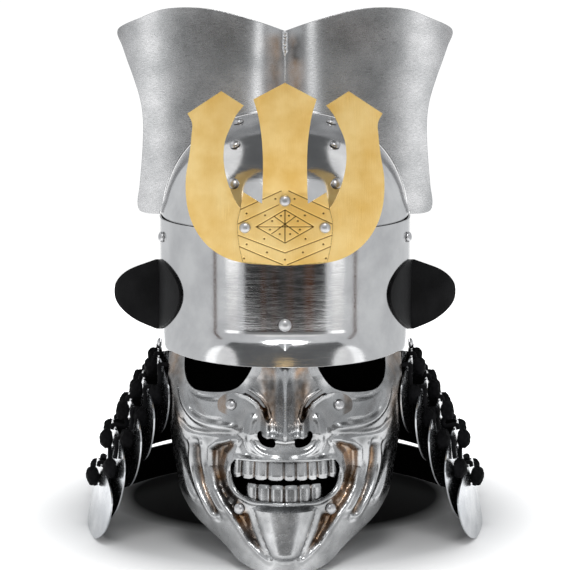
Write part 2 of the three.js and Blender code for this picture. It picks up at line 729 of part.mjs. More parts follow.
function maskPoint(angle, z, offset) {
  const up = z / maskHeight;
  const seat = bowlHalfWidth - sheet - clearance;
  const deepest = maskReach * readTable(maskSections, "up", "reach", up);
  const limit = bowlHalfDepth - sheet - clearance;
  const reach = Math.max(deepest, limit);
  const width = seat * readTable(maskSections, "up", "width", up);
  const radius = planRadius(angle, width, reach, readTable(maskSections, "up", "round", up));
  const swell = maskSwell(radius * Math.sin(angle), z) * smooth(1, 0.84, up);
  return polar(angle, radius + swell + offset, z);
}

const eyeOutline = [
  { x: 0.78, up: 0.93 }, { x: 0.772, up: 0.82 }, { x: 0.7, up: 0.762 }, { x: 0.603, up: 0.733 },
  { x: 0.522, up: 0.725 }, { x: 0.436, up: 0.731 }, { x: 0.336, up: 0.756 }, { x: 0.273, up: 0.807 },
  { x: 0.22, up: 0.88 }, { x: 0.22, up: 0.93 },
];

const mouthOutline = [
  { x: 0, up: 0.305 }, { x: 0.27, up: 0.305 }, { x: 0.36, up: 0.318 }, { x: 0.41, up: 0.353 },
  { x: 0.425, up: 0.4 }, { x: 0.385, up: 0.458 }, { x: 0.2, up: 0.466 }, { x: 0, up: 0.468 },
];

// The wall of the mask between two offsets from its face.
function maskWall(out, back) {
  const half = degrees(maskHalfAngle);
  const sections = evenly(-1, 1, 28).map((share) => {
    const angle = share * half;
    const low = maskHeight * readTable(maskLowerEdge, "turn", "up", Math.abs(share));
    const levels = evenly(maskHeight, low, 11);
    return {
      outer: levels.map((z) => maskPoint(angle, z, out)),
      inner: levels.map((z) => maskPoint(angle, z, back)),
    };
  });
  return toSolid(shell(sections));
}

function buildMask() {
  const toShape = (outline, side) => new THREE.Shape(outline.map(({ x, up }) =>
    new THREE.Vector2(side * x * bowlHalfWidth, up * maskHeight)));
  const mouth = mouthOutline.map(({ x, up }) => [x * bowlHalfWidth, up * maskHeight]);
  const front = -maskReach - 40;
  let solid = maskWall(0, -sheet);
  solid = solid.subtract(prism(toShape(eyeOutline, 1), front, 0));
  solid = solid.subtract(prism(toShape([...eyeOutline].reverse(), -1), front, 0));
  solid = solid.subtract(prism(mirroredShape(mouth), front, 0));
  place("mask_face", solid, steel);
}

// Nose plate: the nose and two tabs on the cheeks, in front of the mask

const noseOutline = [
  { x: 0, up: 0.535 }, { x: 0.07, up: 0.532 }, { x: 0.2, up: 0.55 }, { x: 0.34, up: 0.56 },
  { x: 0.36, up: 0.61 }, { x: 0.42, up: 0.632 }, { x: 0.5, up: 0.64 }, { x: 0.5, up: 0.71 },
  { x: 0.38, up: 0.74 }, { x: 0.3, up: 0.73 }, { x: 0.2, up: 0.75 }, { x: 0.17, up: 0.84 },
  { x: 0.2, up: 0.95 }, { x: 0, up: 0.95 },
];

const noseProfile = [
  { up: 0.52, out: 0.1, wide: 0.17 }, { up: 0.56, out: 0.42, wide: 0.18 }, { up: 0.6, out: 0.92, wide: 0.16 },
  { up: 0.64, out: 1, wide: 0.14 }, { up: 0.7, out: 0.82, wide: 0.11 }, { up: 0.8, out: 0.5, wide: 0.1 },
  { up: 0.88, out: 0.12, wide: 0.12 }, { up: 1, out: 0, wide: 0.12 },
];

function noseSwell(x, z) {
  const up = z / maskHeight;
  const wide = readTable(noseProfile, "up", "wide", up) * bowlHalfWidth;
  return noseReach * readTable(noseProfile, "up", "out", up) * Math.exp(-((Math.abs(x) / wide) ** 2.4));
}

function nosePoint(angle, z, offset) {
  const base = maskPoint(angle, z, offset + clearance);
  base.y -= noseSwell(base.x, z);
  return base;
}

function buildNosePlate() {
  const half = degrees(noseHalfAngle);
  const right = [0.08, 0.18, 0.3, 0.46, 0.7, 1];
  const shares = [...right.map((share) => -share).reverse(), 0, ...right];
  const levels = evenly(maskHeight * 0.96, maskHeight * 0.525, 9);
  const sections = shares.map((share) => ({
    outer: levels.map((z) => nosePoint(share * half, z, sheet)),
    inner: levels.map((z) => nosePoint(share * half, z, 0)),
  }));
  const outline = noseOutline.map(({ x, up }) => [x * bowlHalfWidth, up * maskHeight]);
  const cut = prism(mirroredShape(outline), -maskReach - 60, 0);
  const solid = toSolid(shell(sections)).intersect(cut).subtract(maskWall(clearance, -sheet));
  place("nose_plate", solid, steel);
}

// Teeth: a strip with a groove between each two teeth, behind the mouth

const upperTeeth = {
  low: 0.39, high: 0.475, edges: [-0.46, -0.4, -0.29, -0.16, -0.01, 0.1, 0.2, 0.31, 0.41, 0.46],
};
const lowerTeeth = {
  low: 0.3, high: 0.372, edges: [-0.44, -0.35, -0.235, -0.12, 0, 0.125, 0.23, 0.34, 0.44],
};

function buildTeeth(name, { low, high, edges }) {
  const sections = [];
  const inset = -sheet - 1.5 * clearance;
  const levels = evenly(maskHeight * high, maskHeight * low, 2);
  const column = (x, relief) => {
    const angle = Math.atan2(x, maskReach * 0.85);
    return {
      outer: levels.map((z) => maskPoint(angle, z, inset - relief)),
      inner: levels.map((z) => maskPoint(angle, z, inset - toothSheet - toothRelief)),
    };
  };
  edges.forEach((edge, i) => {
    sections.push(column(edge * bowlHalfWidth, toothRelief));
    if (i < edges.length - 1) {
      const width = edges[i + 1] - edge;
      sections.push(column((edge + width * 0.22) * bowlHalfWidth, 0));
      sections.push(column((edge + width * 0.78) * bowlHalfWidth, 0));
    }
  });
  place(name, toSolid(shell(sections)).subtract(maskWall(sheet, -sheet - clearance)), steel);
}

function buildRivets() {
  rivetOn("brow_rivet", browRivet, (a, z) => bandPoint(a, z, 0), 0, creaseHeight + browRivet + clearance);
  for (const [name, side] of [["left", -1], ["right", 1]]) {
    const onBand = (a, z) => bandPoint(a, z, 0);
    rivetOn(`band_rivet_${name}`, smallRivet, onBand, side * degrees(bandRivetTurn), domeBase);
    rivetOn(`neck_pin_${name}`, pinRivet, onBand, side * degrees(neckPinTurn), bowlEdge + neckPinRise);
    domeRivets.forEach(({ x, up }, i) => {
      const across = side * x * bowlHalfWidth;
      rivetOn(`dome_rivet_${name}_${i + 1}`, domeRivet, domeFront, across, domeBase + up * domeHeight);
    });
    const onNose = (a, z) => nosePoint(a, z, sheet);
    const onMask = (a, z) => maskPoint(a, z, 0);
    const [cheek, chin] = [side * degrees(cheekRivetTurn), side * degrees(chinRivetTurn)];
    rivetOn(`cheek_rivet_${name}`, smallRivet, onNose, cheek, maskHeight * cheekRivetUp);
    rivetOn(`chin_rivet_${name}`, smallRivet, onMask, chin, maskHeight * chinRivetUp);
  }
}

buildBand();
buildDome();
buildCrest();
buildCrestRim();
buildOrnament();
buildSidePlate("side_plate_left", -1);
buildSidePlate("side_plate_right", 1);
buildNeckGuard();
buildMask();
buildNosePlate();
buildTeeth("upper_teeth", upperTeeth);
buildTeeth("lower_teeth", lowerTeeth);
buildRivets();

// The origin is moved below the middle of the whole, on the ground.
const bounds = new THREE.Box3().setFromObject(root);
root.position.y = -(bounds.min.y + bounds.max.y) / 2;
const helmet = new THREE.Group();
helmet.add(root);

export default helmet;
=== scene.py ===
import math

import bmesh
import bpy
import numpy as np
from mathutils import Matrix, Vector
from mathutils.geometry import delaunay_2d_cdt


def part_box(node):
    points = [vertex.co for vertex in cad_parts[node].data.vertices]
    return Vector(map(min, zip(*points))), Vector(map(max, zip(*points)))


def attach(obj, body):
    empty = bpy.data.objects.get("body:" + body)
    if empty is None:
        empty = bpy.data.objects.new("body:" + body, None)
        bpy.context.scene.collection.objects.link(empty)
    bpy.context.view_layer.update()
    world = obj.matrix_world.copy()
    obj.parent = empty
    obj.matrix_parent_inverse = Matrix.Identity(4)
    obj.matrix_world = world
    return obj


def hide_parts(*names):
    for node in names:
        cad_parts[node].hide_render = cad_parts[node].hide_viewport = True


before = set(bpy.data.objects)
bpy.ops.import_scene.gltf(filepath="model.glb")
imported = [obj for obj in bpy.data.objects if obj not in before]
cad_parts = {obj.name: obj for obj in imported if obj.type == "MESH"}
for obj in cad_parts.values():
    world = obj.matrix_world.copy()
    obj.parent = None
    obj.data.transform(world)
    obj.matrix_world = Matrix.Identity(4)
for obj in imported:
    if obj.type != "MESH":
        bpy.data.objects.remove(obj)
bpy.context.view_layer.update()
domeLow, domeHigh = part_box("dome")
bowlMiddle = (domeLow.y + domeHigh.y) / 2

# Everything below is drawn in millimetres round the middle of the bowl, with the face towards -Y.
sheetThick = 1.5
gap = 0.3
halfWidth, halfDepth, bowlRound = 102.0, 115.0, 2.2
bowlEdge, bandTop, creaseHeight = 153.0, 262.0, 185.0
domeBase, domeRise, domeRound = 248.0, 98.0, 2.3
crestHalf, crestRise, crestBase = 136.8, 168.0, 260.5
maskTop, maskReach, maskHalfAngle = 186.0, 150.0, math.radians(62.5)


# Colours are written as sRGB and used as linear light.
def linear(code):
    parts = [int(code[i:i + 2], 16) / 255 for i in (1, 3, 5)]
    return tuple(c / 12.92 if c <= 0.04045 else ((c + 0.055) / 1.055) ** 2.4 for c in parts) + (1.0,)


def addNode(tree, kind, inputs=None, **settings):
    node = tree.nodes.new(kind)
    for key, value in settings.items():
        setattr(node, key, value)
    for key, value in (inputs or {}).items():
        socket = node.inputs[key]
        if isinstance(value, bpy.types.NodeSocket):
            tree.links.new(value, socket)
        else:
            socket.default_value = value
    return node


def startMaterial(name):
    material = bpy.data.materials.new(name)
    material.use_nodes = True
    material.node_tree.nodes.clear()
    return material, material.node_tree


def finishMaterial(tree, shader):
    addNode(tree, "ShaderNodeOutputMaterial", {"Surface": shader.outputs[0]})


def ramp(tree, factor, stops):
    node = addNode(tree, "ShaderNodeValToRGB", {"Fac": factor})
    while len(node.color_ramp.elements) < len(stops):
        node.color_ramp.elements.new(0.5)
    for element, (place, code) in zip(node.color_ramp.elements, stops):
        element.position = place
        element.color = linear(code)
    return node.outputs["Color"]


# Sheet metal: faint streaks of the polishing wheel, cloudy shine, and a brown mark read from a mesh
# attribute:
# tarnish kept in hollows, and also painted shade and painted reflections. Streaks are counted in a metre
# each way, shine is the least and the most roughness.
def sheetMetal(name, clean, cloud, brown, shine, streaks, depth, least=0.1):
    material, tree = startMaterial(name)
    place = addNode(tree, "ShaderNodeTexCoord").outputs["Object"]
    along = addNode(tree, "ShaderNodeMapping", {"Vector": place, "Scale": streaks}).outputs[0]
    fine = addNode(tree, "ShaderNodeTexNoise", {
        "Vector": along, "Scale": 1.0, "Detail": 5.0, "Roughness": 0.65})
    cloudy = addNode(tree, "ShaderNodeTexNoise", {"Vector": place, "Scale": 38.0, "Detail": 4.0})
    blotch = addNode(tree, "ShaderNodeTexNoise", {
        "Vector": place, "Scale": 95.0, "Detail": 6.0, "Roughness": 0.7})
    base = ramp(tree, cloudy.outputs[0], [(0.35, cloud), (0.68, clean)])
    mark = addNode(tree, "ShaderNodeAttribute", attribute_name="tarnish_and_painted_light")
    patch = addNode(tree, "ShaderNodeMapRange", {
        "Value": blotch.outputs[0], "From Min": 0.3, "From Max": 0.62, "To Min": least})
    share = addNode(tree, "ShaderNodeMath", {
        0: mark.outputs["Fac"], 1: patch.outputs[0]}, operation="MULTIPLY")
    # brown of tarnish, also used for painted shade and painted brown reflections
    stainAndPaintedLight = ramp(tree, cloudy.outputs[0], [(0.38, brown[0]), (0.6, brown[1])])
    tint = addNode(tree, "ShaderNodeMix", {
        "Factor": share.outputs[0], "A": base, "B": stainAndPaintedLight}, data_type="RGBA")
    dull = addNode(tree, "ShaderNodeMapRange", {
        "Value": fine.outputs[0], "From Min": 0.3, "From Max": 0.7, "To Min": shine[0], "To Max": shine[1]})
    bump = addNode(tree, "ShaderNodeBump", {
        "Height": fine.outputs[0], "Strength": depth, "Distance": 0.0002})
    shader = addNode(tree, "ShaderNodeBsdfPrincipled", {
        "Base Color": tint.outputs["Result"], "Metallic": 1.0,
        "Roughness": dull.outputs[0], "Normal": bump.outputs[0]})
    finishMaterial(tree, shader)
    return material


# A dull coat: small grain in colour, shine and height.
def coat(name, dark, light, shine, grainSize, depth):
    material, tree = startMaterial(name)
    place = addNode(tree, "ShaderNodeTexCoord").outputs["Object"]
    grain = addNode(tree, "ShaderNodeTexNoise", {"Vector": place, "Scale": 1 / grainSize, "Detail": 5.0})
    cloudy = addNode(tree, "ShaderNodeTexNoise", {"Vector": place, "Scale": 45.0, "Detail": 3.0})
    tint = ramp(tree, cloudy.outputs[0], [(0.35, dark), (0.7, light)])
    dull = addNode(tree, "ShaderNodeMapRange", {
        "Value": grain.outputs[0], "From Min": 0.3, "From Max": 0.7, "To Min": shine[0], "To Max": shine[1]})
    bump = addNode(tree, "ShaderNodeBump", {
        "Height": grain.outputs[0], "Strength": depth, "Distance": 0.0003})
    shader = addNode(tree, "ShaderNodeBsdfPrincipled", {
        "Base Color": tint, "Roughness": dull.outputs[0],
        "Normal": bump.outputs[0], "Specular IOR Level": 0.06})
    finishMaterial(tree, shader)
    return material


# brown of tarnish, also the colour of painted shade and painted brown reflections
brownTarnishAndPaintedLight = ("#33281d", "#8d6c49")
# dark of the engraving, also used for a painted shadow line on the brass
darkEngravingAndShadowLine = ("#3d2a0e", "#5c4018")
# polished steel of the bowl: bright, with faint level marks of the wheel that draw the reflections out
polishedSteel = sheetMetal("polished_steel", "#d6d6d6", "#c2c2c3", brownTarnishAndPaintedLight,
                           shine=(0.07, 0.18), streaks=(60, 60, 1300), depth=0.14)
# the mask was beaten and rubbed by hand: greyer, softer, and brown in its hollows
beatenSteel = sheetMetal("beaten_steel", "#bfc0c1", "#8e8f90", brownTarnishAndPaintedLight,
                         shine=(0.2, 0.3), streaks=(240, 240, 240), depth=0.07, least=0.4)
# the crest is brushed to a softer shine, the marks run across it
brushedSteel = sheetMetal("brushed_steel", "#c2c2c3", "#a6a7a8", brownTarnishAndPaintedLight,
                          shine=(0.2, 0.34), streaks=(240, 600, 2600), depth=0.14, least=0.6)
# plain polished strips of the neck guard
stripSteel = sheetMetal("neck_guard_steel", "#c8cacc", "#a6a9ad", brownTarnishAndPaintedLight,
                        shine=(0.16, 0.3), streaks=(250, 250, 1600), depth=0.15)
# rivet heads: cast, tumbled and a little dull
rivetSteel = sheetMetal("rivet_steel", "#c4c4c5", "#a9a9ab", brownTarnishAndPaintedLight,
                        shine=(0.3, 0.4), streaks=(500, 500, 500), depth=0.1)
# warm satin brass with upright brush strokes, dark where it is engraved and along a painted shadow line at
# the blade's lower border
satinBrass = sheetMetal("satin_brass", "#f8da96", "#e6bd6c", darkEngravingAndShadowLine,
                        shine=(0.38, 0.54), streaks=(2600, 900, 60), depth=0.9, least=1)
# inside of the bowl and mask: matt black paint, made near pure black so that it also stands for the shade
# inside the helmet
blackInsideAndShade = coat("black_inside_paint_and_shade", "#030303", "#080808", shine=(0.85, 0.95), grainSize=0.0012, depth=0.2)
# side plates: black leather-like coat with a low shine
blackPlate = coat("satin_black_plate", "#070708", "#141415", shine=(0.4, 0.52), grainSize=0.0009, depth=0.35)
# waxed black cord
blackCord = coat("black_cord", "#070708", "#141416", shine=(0.6, 0.85), grainSize=0.0005, depth=0.8)
print("materials ready")


# Meshes

def link(mesh, name):
    obj = bpy.data.objects.new(name, mesh)
    bpy.context.scene.collection.objects.link(obj)
    return obj


def makePiece(piece, points, faces, inside=None, tarnish_and_painted_light=None):
    rows = np.asarray(points, float) / 1000 + (0, bowlMiddle, 0)
    mesh = bpy.data.meshes.new(piece["name"])
    mesh.from_pydata(rows.tolist(), [], [tuple(int(i) for i in f) for f in faces])
    for material in piece["materials"]:
        mesh.materials.append(material)
    if inside is not None:
        mesh.polygons.foreach_set("material_index", np.asarray(inside, np.int32))
    # this attribute carries tarnish, and also painted shade and painted reflections
    if tarnish_and_painted_light is not None:
        layer = mesh.attributes.new("tarnish_and_painted_light", "FLOAT", "POINT")
        layer.data.foreach_set("value", np.asarray(tarnish_and_painted_light, np.float32))
    work = bmesh.new()
    work.from_mesh(mesh)
    bmesh.ops.remove_doubles(work, verts=work.verts, dist=1e-6)
    bmesh.ops.delete(work, geom=[e for e in work.edges if not e.link_faces], context="EDGES")
    bmesh.ops.recalc_face_normals(work, faces=work.faces)
    work.to_mesh(mesh)
    work.free()
    mesh.polygons.foreach_set("use_smooth", [True] * len(mesh.polygons))
    mesh.set_sharp_from_angle(angle=math.radians(piece.get("sharp", 38)))
    mesh.update()
    obj = link(mesh, piece["name"])
    if piece.get("bevel"):
        bevel = obj.modifiers.new("rounded_edges", "BEVEL")
        bevel.width = piece["bevel"] / 1000
        bevel.segments = 2
        bevel.angle_limit = math.radians(50)
        bevel.harden_normals = True
    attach(obj, "root")
    if piece["nodes"]:
        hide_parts(*piece["nodes"])
    return obj


# A thin wall between two grids of points. The second material goes on its inner face.
def wall(outer, inner, closed=False):
    n, m, _ = outer.shape
    total = n * m
    at = np.arange(total).reshape(n, m)
    nxt = np.roll(at, -1, axis=0) if closed else at[1:]
    here = at if closed else at[:-1]
    a, b, c, d = here[:, :-1], nxt[:, :-1], nxt[:, 1:], here[:, 1:]
    quads = [np.stack([a, b, c, d], -1).reshape(-1, 4), np.stack([d, c, b, a], -1).reshape(-1, 4) + total]
    looks = [np.zeros(len(quads[0])), np.ones(len(quads[1]))]
    for edge, turned in ((0, False), (m - 1, True)):
        p, q = here[:, edge], nxt[:, edge]
        ring = np.stack([p, p + total, q + total, q], -1)
        quads.append(ring[:, ::-1] if turned else ring)
    if not closed:
        for end, turned in ((0, True), (n - 1, False)):
            p, q = at[end, :-1], at[end, 1:]
            cap = np.stack([p, p + total, q + total, q], -1)
            quads.append(cap[:, ::-1] if turned else cap)
    faces = np.concatenate(quads)
    looks = np.concatenate(looks + [np.zeros(len(faces) - sum(len(l) for l in looks))])
    return np.concatenate([outer.reshape(-1, 3), inner.reshape(-1, 3)]), faces, looks.astype(int)


# A smooth curve through a few points, sharp at the listed corners.
def smoothLine(points, spacing, corners=(), closed=True):
    points = np.asarray(points, float)
    n = len(points)
    spans = n if closed else n - 1
    out = []
    for i in range(spans):
        p1, p2 = points[i], points[(i + 1) % n]
        before, after = (i - 1) % n, (i + 2) % n
        p0 = p1 - (p2 - p1) if i in corners or (not closed and i == 0) else points[before]
        last = (i + 1) % n in corners or (not closed and i == n - 2)
        p3 = p2 + (p2 - p1) if last else points[after]
        length = np.linalg.norm(p2 - p1)
        reach0, reach3 = max(np.linalg.norm(p1 - p0), 1e-6), max(np.linalg.norm(p3 - p2), 1e-6)
        m1 = 0.5 * length * ((p1 - p0) / reach0 + (p2 - p1) / max(length, 1e-6))
        m2 = 0.5 * length * ((p2 - p1) / max(length, 1e-6) + (p3 - p2) / reach3)
        for k in range(max(1, round(length / spacing))):
            s = k / max(1, round(length / spacing))
            out.append((2 * s**3 - 3 * s**2 + 1) * p1 + (s**3 - 2 * s**2 + s) * m1
                       + (3 * s**2 - 2 * s**3) * p2 + (s**3 - s**2) * m2)
    if not closed:
        out.append(points[-1])
    return np.array(out)


# Inside the outline and outside its holes.
def insideLoops(points, loops):
    odd = np.zeros(len(points), bool)
    for loop in loops:
        a, b = loop, np.roll(loop, -1, axis=0)
        for (ax, az), (bx, bz) in zip(a, b):
            if az == bz:
                continue
            between = (points[:, 1] > min(az, bz)) & (points[:, 1] <= max(az, bz))
            cross = ax + (points[:, 1] - az) * (bx - ax) / (bz - az)
            odd ^= between & (cross > points[:, 0])
    return odd


def lineDistance(points, line):
    best = np.full(len(points), 1e9)
    for a, b in zip(line[:-1], line[1:]):
        d = b - a
        t = np.clip(((points - a) @ d) / max(d @ d, 1e-12), 0, 1)
        best = np.minimum(best, np.linalg.norm(points - a - t[:, None] * d, axis=1))
    return best


# A sheet with a free outline and holes: flat triangles inside the loops, lifted by the two face functions.
# The first loop is the outline. Fine is a smaller spacing and where it is wanted.
def cutSheet(loops, spacing, outerFace, innerFace, fine=None):
    low, high = loops[0].min(0), loops[0].max(0)
    grids = [(spacing, None)] if fine is None else [(spacing, lambda p: ~fine[1](p)), fine]
    filled = []
    for step, wanted in grids:
        xs = np.arange(low[0], high[0] + step, step)
        zs = np.arange(low[1], high[1] + step, step * 0.87)
        grid = np.stack(np.meshgrid(xs, zs), -1)
        grid[1::2, :, 0] += step / 2
        grid = grid.reshape(-1, 2)
        grid = grid[insideLoops(grid, loops)]
        if wanted is not None:
            grid = grid[wanted(grid)]
        near = np.full(len(grid), 1e9)
        for loop in loops:
            near = np.minimum(near, lineDistance(grid, np.vstack([loop, loop[:1]])))
        filled.append(grid[near > 0.5 * step])
    edges, start = [], 0
    for loop in loops:
        n = len(loop)
        edges += [(start + i, start + (i + 1) % n) for i in range(n)]
        start += n
    flat = np.vstack(loops + filled)
    made = delaunay_2d_cdt([Vector(p) for p in flat], edges, [], 0, 1e-5)
    flat = np.array([tuple(v) for v in made[0]])
    triangles = np.array([f for f in made[2]])
    triangles = triangles[insideLoops(flat[triangles].mean(1), loops)]
    used = np.unique(triangles)
    again = np.zeros(len(flat), int)
    again[used] = np.arange(len(used))
    flat, triangles = flat[used], again[triangles]
    total = len(flat)
    sides = np.concatenate([triangles[:, [0, 1]], triangles[:, [1, 2]], triangles[:, [2, 0]]])
    keys = np.sort(sides, axis=1)
    keys = keys[:, 0] * (total + 1) + keys[:, 1]
    _, back, count = np.unique(keys, return_inverse=True, return_counts=True)
    rim = sides[count[back] == 1]
    faces = [tuple(t) for t in triangles] + [tuple(t[::-1] + total) for t in triangles]
    faces += [(b, a, a + total, b + total) for a, b in rim]
    looks = [0] * len(triangles) + [1] * len(triangles) + [0] * len(rim)
    return np.vstack([outerFace(flat), innerFace(flat)]), faces, looks, flat


# A smooth function of one value from a short table.
def curveOf(rows):
    keys = np.array([r[0] for r in rows], float)
    values = np.array([r[1] for r in rows], float)
    k, v = np.r_[keys[0], keys, keys[-1]], np.r_[values[0], values, values[-1]]
    slope = (v[2:] - v[:-2]) / (k[2:] - k[:-2])

    def read(x):
        x = np.asarray(x, float)
        i = np.clip(np.searchsorted(keys, x) - 1, 0, len(keys) - 2)
        span = keys[i + 1] - keys[i]
        s = np.clip((x - keys[i]) / span, 0, 1)
        return ((2 * s**3 - 3 * s**2 + 1) * values[i] + (s**3 - 2 * s**2 + s) * slope[i] * span
                + (3 * s**2 - 2 * s**3) * values[i + 1] + (s**3 - s**2) * slope[i + 1] * span)
    return read


def smooth(start, end, x):
    s = np.clip((np.asarray(x, float) - start) / (end - start), 0, 1)
    return s * s * (3 - 2 * s)


frontRound = 0.06  # keeps the very front of a squarer plan round, where it would be flat


# Distance from the middle to a rounded plan, 2 is an ellipse and more is squarer.
def planRadius(angle, width, depth, roundness):
    side = np.hypot(np.sin(angle), frontRound) / width
    front = np.abs(np.cos(angle)) / depth
    return (side**roundness + front**roundness) ** (-1 / roundness)


def polar(angle, radius, z):
    return np.stack(np.broadcast_arrays(radius * np.sin(angle), -radius * np.cos(angle), z), -1)


# A round cord along a path. Wave lets its surface swell, as the strands of a braid do.
def tube(path, radius, facing, around=10, wave=0.0):
    path = np.asarray(path, float)
    along = np.gradient(path, axis=0)
    along /= np.linalg.norm(along, axis=1, keepdims=True)
    side = np.cross(along, facing)
    side /= np.linalg.norm(side, axis=1, keepdims=True)
    up = np.cross(side, along)
    run = np.r_[0, np.cumsum(np.linalg.norm(np.diff(path, axis=0), axis=1))]
    turn = np.linspace(0, 2 * math.pi, around, endpoint=False)
    swell = radius * (1 + wave * np.abs(np.sin(run[:, None] * 1.9 + turn[None, :])))
    rings = (path[:, None, :] + side[:, None, :] * (np.cos(turn) * swell)[..., None]
             + up[:, None, :] * (np.sin(turn) * swell)[..., None])
    n = len(path)
    at = np.arange(n * around).reshape(n, around)
    a, b = at[:-1], at[1:]
    faces = np.stack([a, np.roll(a, -1, 1), np.roll(b, -1, 1), b], -1).reshape(-1, 4).tolist()
    return rings.reshape(-1, 3), faces + [at[0].tolist()[::-1], at[-1].tolist()]


# Bowl: brow band with the visor, which flares most at the front

band = {"name": "brow_band_polished", "nodes": ["brow_band"], "slot": "steel",
        "materials": [polishedSteel, blackInsideAndShade], "bevel": 0.4, "sharp": 45,
        "visorReach": 20, "visorHeight": 24, "visorTurn": 85, "lipRaise": 8, "lipFrom": 50, "lipTo": 76}


def bandLip(angle):
    turn = np.abs(np.arctan2(np.sin(angle), np.cos(angle)))
    rise = smooth(math.radians(band["lipTo"]), math.radians(band["lipFrom"]), turn)
    return bowlEdge + band["lipRaise"] * rise


def bandPoint(angle, z, inset):
    turn = np.abs(np.arctan2(np.sin(angle), np.cos(angle)))
    share = np.clip((creaseHeight - z) / band["visorHeight"], 0, 1)
    visor = np.maximum(0, np.cos(turn * 90 / band["visorTurn"])) ** 3
    flare = band["visorReach"] * visor * share**2 * (1.5 - 0.5 * share)
    return polar(angle, planRadius(angle, halfWidth, halfDepth, bowlRound) + flare - inset, z)


def domePoint(angle, rise, grow):
    inset = sheetThick + gap - grow
    radius = planRadius(angle, halfWidth - inset, halfDepth - inset, bowlRound)
    width = np.maximum(np.cos(rise), 0) ** (2 / domeRound)
    return polar(angle, radius * width, domeBase + (domeRise + grow) * np.sin(rise) ** (2 / domeRound))


turns = np.linspace(0, 2 * math.pi, 240, endpoint=False)[:, None]
lips = bandLip(turns)
bendStart = creaseHeight + 4
above, below = np.linspace(0, 1, 26)[None, :] ** 1.6, np.linspace(0, 1, 24)[None, 1:]
upperRows = bandTop + (bendStart - bandTop) * above + 0 * lips
heights = np.hstack([upperRows, bendStart + (lips - bendStart) * below])
points, faces, looks = wall(bandPoint(turns, heights, 0), bandPoint(turns, heights, sheetThick), True)
makePiece(band, points, faces, looks)

dome = {"name": "dome_polished", "nodes": ["dome"], "slot": "steel",
        "materials": [polishedSteel, blackInsideAndShade], "flush": 1.5}
rises = np.linspace(0, math.pi / 2, 60)[None, :] ** 1.15 * (math.pi / 2) ** -0.15
level = domeBase + domeRise * np.sin(rises) ** (2 / domeRound)
# just above the seam the dome stands as far out as the band
nearSeam = smooth(bandTop + 0.2, bandTop + 2.2, level) * smooth(bandTop + 16, bandTop + 4, level)
flush = dome["flush"] * nearSeam
points, faces, looks = wall(domePoint(turns, rises, flush), domePoint(turns, rises, -sheetThick), True)
makePiece(dome, points, faces, looks)
print("bowl ready")


# Crest: two lobes that meet at a sharp ridge, with a weld bead at its top and a joint strip over the dome

crest = {"name": "crest_brushed", "nodes": ["crest"], "slot": "steel",
         "materials": [brushedSteel, brushedSteel], "bevel": 0.45, "sharp": 30,
         "ridge": 24, "ridgeWidth": 17, "wing": 24, "topLean": 2.4, "footHalf": 102.6, "clearBand": 0.8}


def crestDepth(x, z):
    up = np.clip((z - crestBase) / crestRise, 0, 1)
    ridge = crest["ridge"] * np.exp(-np.abs(x) / (crest["ridgeWidth"] * (1.3 - 0.6 * up)))
    return crest["wing"] * (np.abs(x) / crestHalf) ** 3 - ridge - crest["topLean"] * smooth(0.66, 1, up) ** 2


# Where the crest meets the dome, away from it by a gap or a sheet.
def crestSeam(turn, away):
    across, upward = np.cos(turn), np.sin(turn)
    depth = np.zeros_like(turn)
    for _ in range(14):
        deep, wide = halfDepth - sheetThick - gap + away, halfWidth - sheetThick - gap + away
        reach = (1 - np.minimum(np.abs(depth) / deep, 1) ** bowlRound) ** (1 / bowlRound)
        share = (np.abs(across) / (wide * reach)) ** domeRound
        share = share + (np.abs(upward) / (domeRise + away)) ** domeRound
        radius = share ** (-1 / domeRound)
        x, z = radius * across, domeBase + radius * upward
        depth = crestDepth(x, z)
    return np.stack([x, depth, z], -1)


def layered(depth, front, back):
    face = lambda add: lambda p: np.stack([p[:, 0], depth(p[:, 0], p[:, 1]) + add, p[:, 1]], -1)
    return face(front), face(back)


def mirrored(half):
    left = [(-x, z) for x, z in half[::-1] if x > 1e-6]
    return [tuple(p) for p in half] + left


crestUpper = np.array([
    (0, .893), (.118, .924), (.219, .949), (.354, .979), (.455, .994), (.555, 1), (.66, .997),
    (.739, .987), (.863, .948), (.975, .908), (.995, .894), (1, .873), (.973, .818), (.94, .741),
    (.907, .669), (.863, .552), (.849, .469), (.851, .343), (.862, .23), (.874, .132), (.887, .042),
    (.875, .013), (.845, .003), (.76, 0)])
crestUpper = crestUpper * (crestHalf, crestRise) + (0, crestBase)
upperLine = smoothLine(crestUpper, 2.2, closed=False)
overBand = bandTop + crest["clearBand"]
seamTurns = np.linspace(math.asin((overBand - domeBase) / domeRise) * 0.98, math.pi / 2, 60)
seam = crestSeam(seamTurns, gap + 0.2)[:, [0, 2]]
foot = [(crest["footHalf"], crestBase), (crest["footHalf"], overBand)]
rightHalf = np.vstack([upperLine, foot, seam[seam[:, 1] > overBand + 0.1]])
leftHalf = rightHalf[1:-1][::-1] * (-1, 1)
crestLoop = np.vstack([rightHalf, leftHalf])
crestFaces = layered(crestDepth, -sheetThick / 2, sheetThick / 2)
points, faces, looks, flat = cutSheet([crestLoop], 3.4, *crestFaces,
                                      fine=(1.6, lambda p: np.abs(p[:, 0]) < 26))
upHere = (flat[:, 1] - crestBase) / crestRise
# painted reflection: brown beside the ridge in the upper crest, carried in the tarnish attribute
reflectionBesideRidge = np.exp(-((np.abs(flat[:, 0]) - 8) / 6.5) ** 2)
brown = 0.75 * reflectionBesideRidge * smooth(0.4, 0.6, upHere) * smooth(0.9, 0.84, upHere)
makePiece(crest, points, faces, looks, np.r_[brown, np.zeros(len(flat))])

